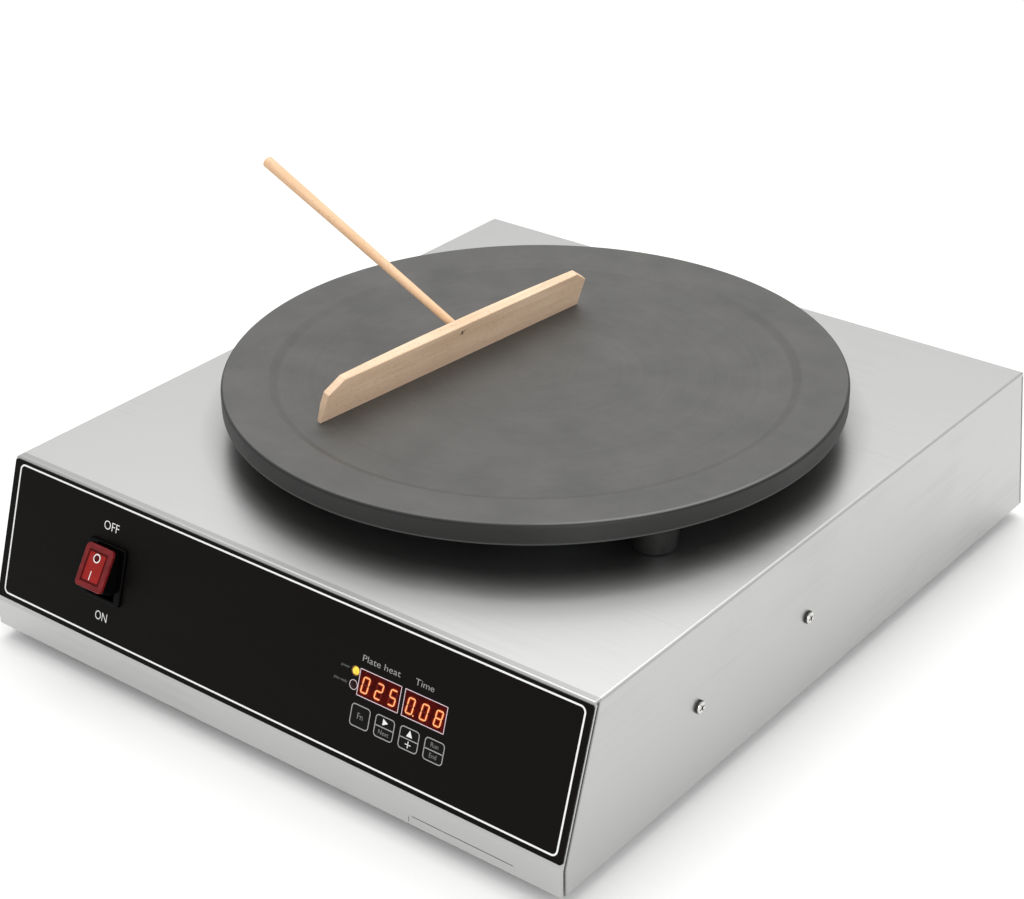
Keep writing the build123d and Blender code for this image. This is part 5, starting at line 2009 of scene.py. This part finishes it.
    def light_display(self, name: str, x: float, digits: str) -> None:
        """Build a display's digits from lit and unlit bars.

        Args:
            name: Which display it is.
            x: Its middle along the panel.
            digits: What it shows.
        """
        wide, tall = self.digit_size
        half_x = (wide - self.bar_width) / 2
        half_y = (tall - self.bar_width) / 2
        ends = {
            "a": ((-half_x, half_y), (half_x, half_y)),
            "b": ((half_x, half_y), (half_x, 0.0)),
            "c": ((half_x, 0.0), (half_x, -half_y)),
            "d": ((-half_x, -half_y), (half_x, -half_y)),
            "e": ((-half_x, 0.0), (-half_x, -half_y)),
            "f": ((-half_x, half_y), (-half_x, 0.0)),
            "g": ((-half_x, 0.0), (half_x, 0.0)),
        }
        unlit, bloom, glow, core = (Sketch(0.0, top) for top in self.layer_tops)
        lit_layers = (
            (bloom, self.bar_width + self.bloom_wider),
            (glow, self.bar_width + self.glow_wider),
            (core, self.core_share * self.bar_width),
        )
        unlit_layers = ((unlit, self.bar_width),)
        unlit_radius, lit_radius, core_radius = self.point_radii
        away_x, away_up = self.point_away
        spot = (half_x + away_x, away_up - half_y)
        for index, digit in enumerate(digits.replace(".", "")):
            middle = (index - 1) * self.digit_pitch
            for letter, (start, end) in ends.items():
                lit = letter in LIT_BARS[digit]
                for layer, width in lit_layers if lit else unlit_layers:
                    layer.slab(self._lean(bar(start, end, width), middle))
            if index == 0 and digits[1] == ".":
                points = ((glow, lit_radius), (core, core_radius))
            else:
                points = ((unlit, unlit_radius),)
            for layer, radius in points:
                point = shifted(circle(radius, steps=12), *spot)
                layer.slab(self._lean(point, middle))
        face = PANEL.matrix(x, self.display_up - self.digit_drop, self.display_out)
        for layer, label, finish in (
            (unlit, "unlit_bars", Finishes.unlit_segment),
            (bloom, "bar_bloom", Finishes.lit_bloom),
            (glow, "bar_glow", Finishes.lit_halo),
            (core, "bar_light", Finishes.lit_core),
        ):
            self.add(layer.finish(f"{name}_{label}", face), finish, "display_face")

    def _lean(self, outline: Sequence[Point], x: float) -> list[Point]:
        """Slant an outline as segment digits are, and move it along."""
        return [(px + x + py * self.digit_slant, py) for px, py in outline]

    def print_key(self, name: str, x: float) -> None:
        """Print a key's outline, words and marks, which move with the key.

        Args:
            name: The key's node, which is also its body.
            x: The key's middle along the panel.
        """
        width, height, corner = self.key_size
        inset = self.key_line
        place = PANEL.matrix(x, self.key_up, self.key_out)
        line = Sketch(*THIN_INK)
        line.ring(
            rounded_rectangle(width, height, corner),
            rounded_rectangle(width - 2 * inset, height - 2 * inset, corner - inset),
        )
        if name != "set_key":
            end, edge = width / 2 - inset / 2, inset / 2
            line.slab([(-end, -edge), (end, -edge), (end, edge), (-end, edge)])
        piece = line.finish(f"{name}_line", place)
        self.add(piece, Finishes.grey_ink, "key_film", name)
        for text, cap, up in KEY_WORDS[name]:
            word = Word(
                f"{name}_{text.lower()}",
                text,
                x,
                self.key_up + up,
                cap,
                self.key_squeeze,
                Finishes.key_ink,
            )
            piece = self.typeface.set_word(word, self.key_out)
            self.add(piece, word.ink, "key_film", name)
        if name in KEY_SHAPES:
            mark = Sketch(*INK)
            for outline in KEY_SHAPES[name]:
                mark.slab(outline)
            piece = mark.finish(f"{name}_mark", place)
            self.add(piece, Finishes.white_ink, "key_film", name)


@dataclass
class RockerSwitch(SubAssembly):
    """Rocker switch with a red lens and its two printed marks.

    Attributes:
        face_out: Height of the lens's face over the pivot.
        inset_depth: Depth of the lens's inset under that face.
        groove: Width, height and corner of the groove round the window.
        groove_slab: Underside and top of the groove's floor over the inset.
        window: Width, height and corner of the window.
        window_slab: Underside and top of the window over the inset.
        mark_out: Height of the marks over the pivot.
        shade_slab: Underside and top of the shade inside the circle.
        shade_under: How far that shade reaches under the circle's line.
        circle_up: Middle of the circle, up the lens.
        circle_radii: Outer and inner radius of the circle.
        line_place: Middle of the upright line.
        line_size: Width, height and corner of the line.
    """

    body = "rocker"
    face_out: float = 15.6
    inset_depth: float = 0.5
    groove: Triple = (16.1, 20.5, 0.4)
    groove_slab: Point = (-0.05, 0.03)
    window: Triple = (13.4, 17.6, 1.0)
    window_slab: Point = (-0.05, 0.35)
    mark_out: float = 15.45
    shade_slab: Point = (-0.03, 0.02)
    shade_under: float = 0.1
    circle_up: float = 5.8
    circle_radii: Point = (2.85, 2.15)
    line_place: Point = (-1.0, -5.4)
    line_size: Triple = (0.6, 5.8, 0.2)

    def build(self) -> None:
        """Dress the switch and add the bright window and its marks."""
        self.dress(["switch_housing"], Finishes.polished_bezel)
        self.dress(["switch_terminals"], Finishes.brass_bush)
        self.dress(["rocker"], Finishes.black_moulding)
        self.dress(["rocker_lens"], Finishes.red_lens)
        outer, inner = self.circle_radii
        floor = ROCKER.matrix(out=self.face_out - self.inset_depth)
        top = ROCKER.matrix(out=self.mark_out)
        groove = Sketch(*self.groove_slab)
        groove.slab(rounded_rectangle(*self.groove, steps=3))
        window = Sketch(*self.window_slab)
        window.slab(rounded_rectangle(*self.window, steps=3))
        shade = Sketch(*self.shade_slab)
        shade.slab(shifted(circle(inner + self.shade_under), 0.0, self.circle_up))
        marks = Sketch(*THIN_INK)
        marks.ring(
            shifted(circle(outer), 0.0, self.circle_up),
            shifted(circle(inner), 0.0, self.circle_up),
        )
        line = rounded_rectangle(*self.line_size, steps=2)
        marks.slab(shifted(line, *self.line_place))
        for sketch, name, place, finish in (
            (groove, "rocker_groove", floor, Finishes.red_groove),
            (window, "rocker_window", floor, Finishes.red_window),
            (shade, "rocker_mark_shade", top, Finishes.red_groove),
            (marks, "rocker_marks", top, Finishes.white_ink),
        ):
            self.add(sketch.finish(name, place), finish, "red_lens")


@dataclass
class Spreader(SubAssembly):
    """Wooden batter spreader.

    Attributes:
        blade: The blade's face, with its origin at the middle of its lower edge.
        dents: Ends of the dents round the pin.
        dent_width: Width of a dent.
        dent_slab: Underside and top of a dent's floor over the face.
    """

    body = "spreader"
    blade: Face = Face(
        (-50.3, -13.3, 148.4), (0.0924, 0.9957, 0.0), (0.3569, -0.0331, 0.9336)
    )
    dents: tuple[tuple[Point, Point], ...] = (
        ((-4.3, 24.3), (0.5, 26.8)),
        ((-3.0, 27.4), (-1.2, 23.5)),
    )
    dent_width: float = 0.75
    dent_slab: Point = (-0.05, 0.03)

    def build(self) -> None:
        """Dress the blade, handle and pin, and dent the wood round the pin."""
        self.dress(["spreader_blade"], Finishes.pale_wood)
        self.dress(["spreader_handle"], Finishes.warm_wood)
        self.dress(["spreader_pin"], Finishes.plated_screw)
        marks = Sketch(*self.dent_slab)
        for start, end in self.dents:
            marks.slab(bar(start, end, self.dent_width))
        piece = marks.finish("pin_dents", self.blade.matrix())
        self.add(piece, Finishes.dented_wood, "pale_wood")


# ---------------------------------------------------------------------------
# Studio
# ---------------------------------------------------------------------------


@dataclass(frozen=True)
class Softbox:
    """A square soft light.

    Attributes:
        name: Its name.
        place: Where it hangs, in metres.
        side: Length of its side, in metres.
        power: Its power in watts.
    """

    name: str
    place: Triple
    side: float
    power: float


@dataclass
class Studio:
    """Pale floor, soft lights and the camera.

    Attributes:
        camera_mm: Where the camera stands.
        camera_right: Its right-hand direction.
        camera_up: Its upward direction.
        sensor_mm: Width of its sensor.
        lens_mm: Focal length of its lens.
        camera_reach: How far it sees, in metres.
        floor_radius: Radius of the floor, in metres.
        floor_edges: Edges that draw the floor's rim.
        sky: Colour of the sky.
        sky_mean: Its strength at the horizon.
        sky_slope: How its strength grows towards X, Y and Z.
        softboxes: The soft lights.
        aim: Where they point, in metres.
    """

    camera_mm: Triple = (784.31, -1006.76, 783.37)
    camera_right: Triple = (0.78715, 0.61664, -0.01224)
    camera_up: Triple = (-0.28464, 0.38081, 0.87974)
    sensor_mm: float = 36.0
    lens_mm: float = 78.455
    camera_reach: float = 50.0
    floor_radius: float = 6.0
    floor_edges: int = 96
    sky: str = "#FFFFFF"
    sky_mean: float = 0.5
    sky_slope: Triple = (-0.05, 0.08, 0.62)
    softboxes: tuple[Softbox, ...] = (
        Softbox("top_softbox", (-0.4, 0.5, 2.2), 2.0, 26.0),
        Softbox("right_softbox", (1.8, -1.2, 0.8), 1.0, 15.0),
    )
    aim: Triple = (0.0, 0.0, 0.1)

    def build(self) -> None:
        """Lay the floor, hang the lights and set the camera."""
        self.lay_floor()
        self.light_sky()
        self.hang_softboxes()
        self.set_camera()

    def lay_floor(self) -> None:
        """Lay a wide pale disc just under the feet."""
        mesh = bmesh.new()
        bmesh.ops.create_circle(
            mesh, cap_ends=True, radius=self.floor_radius, segments=self.floor_edges
        )
        floor = link_mesh("floor", mesh)
        floor.data.materials.append(Finishes.paper_floor.value.material())

    def light_sky(self) -> None:
        """Light a white sky that is brighter overhead."""
        world = bpy.data.worlds.new("studio")
        bpy.context.scene.world = world
        world.use_nodes = True
        tree = world.node_tree
        background = tree.nodes["Background"]
        background.inputs["Color"].default_value = linear(self.sky)
        toward = add_node(tree, "TexCoord")
        lean = add_node(
            tree,
            "VectorMath",
            {"operation": "DOT_PRODUCT", 1: self.sky_slope},
            {0: toward.outputs["Generated"]},
        )
        level = add_node(
            tree,
            "Math",
            {"operation": "ADD", 1: self.sky_mean},
            {0: lean.outputs["Value"]},
        )
        tree.links.new(level.outputs[0], background.inputs["Strength"])

    def hang_softboxes(self) -> None:
        """Hang the soft lights, each turned to the object."""
        for softbox in self.softboxes:
            data = bpy.data.lights.new(softbox.name, "AREA")
            data.shape = "SQUARE"
            data.size = softbox.side
            data.energy = softbox.power
            lamp = bpy.data.objects.new(softbox.name, data)
            lamp.location = softbox.place
            toward = Vector(self.aim) - lamp.location
            lamp.rotation_euler = toward.to_track_quat("-Z", "Y").to_euler()
            bpy.context.scene.collection.objects.link(lamp)

    def set_camera(self) -> None:
        """Put the camera at the viewing angle and make it the scene's."""
        data = bpy.data.cameras.new("camera")
        data.sensor_width = self.sensor_mm
        data.lens = self.lens_mm
        data.clip_end = self.camera_reach
        camera = bpy.data.objects.new("camera", data)
        right = Vector(self.camera_right).normalized()
        upward = Vector(self.camera_up).normalized()
        placed = Matrix((right, upward, right.cross(upward))).transposed().to_4x4()
        placed.translation = Vector(self.camera_mm) * MM
        camera.matrix_world = placed
        bpy.context.scene.collection.objects.link(camera)
        bpy.context.scene.camera = camera


def main() -> None:
    """Build the studio and every sub-assembly."""
    logging.basicConfig(level=logging.INFO, format="%(name)s: %(message)s")
    scene = bpy.context.scene
    scene.view_settings.view_transform = "Standard"
    scene.view_settings.look = "None"
    assemblies = (
        Studio(),
        Housing(),
        Griddle(),
        Electronics(),
        ControlPanel(),
        RockerSwitch(),
        Spreader(),
    )
    for assembly in assemblies:
        assembly.build()
        log.info("built %s", type(assembly).__name__)


if __name__ == "__main__":
    main()
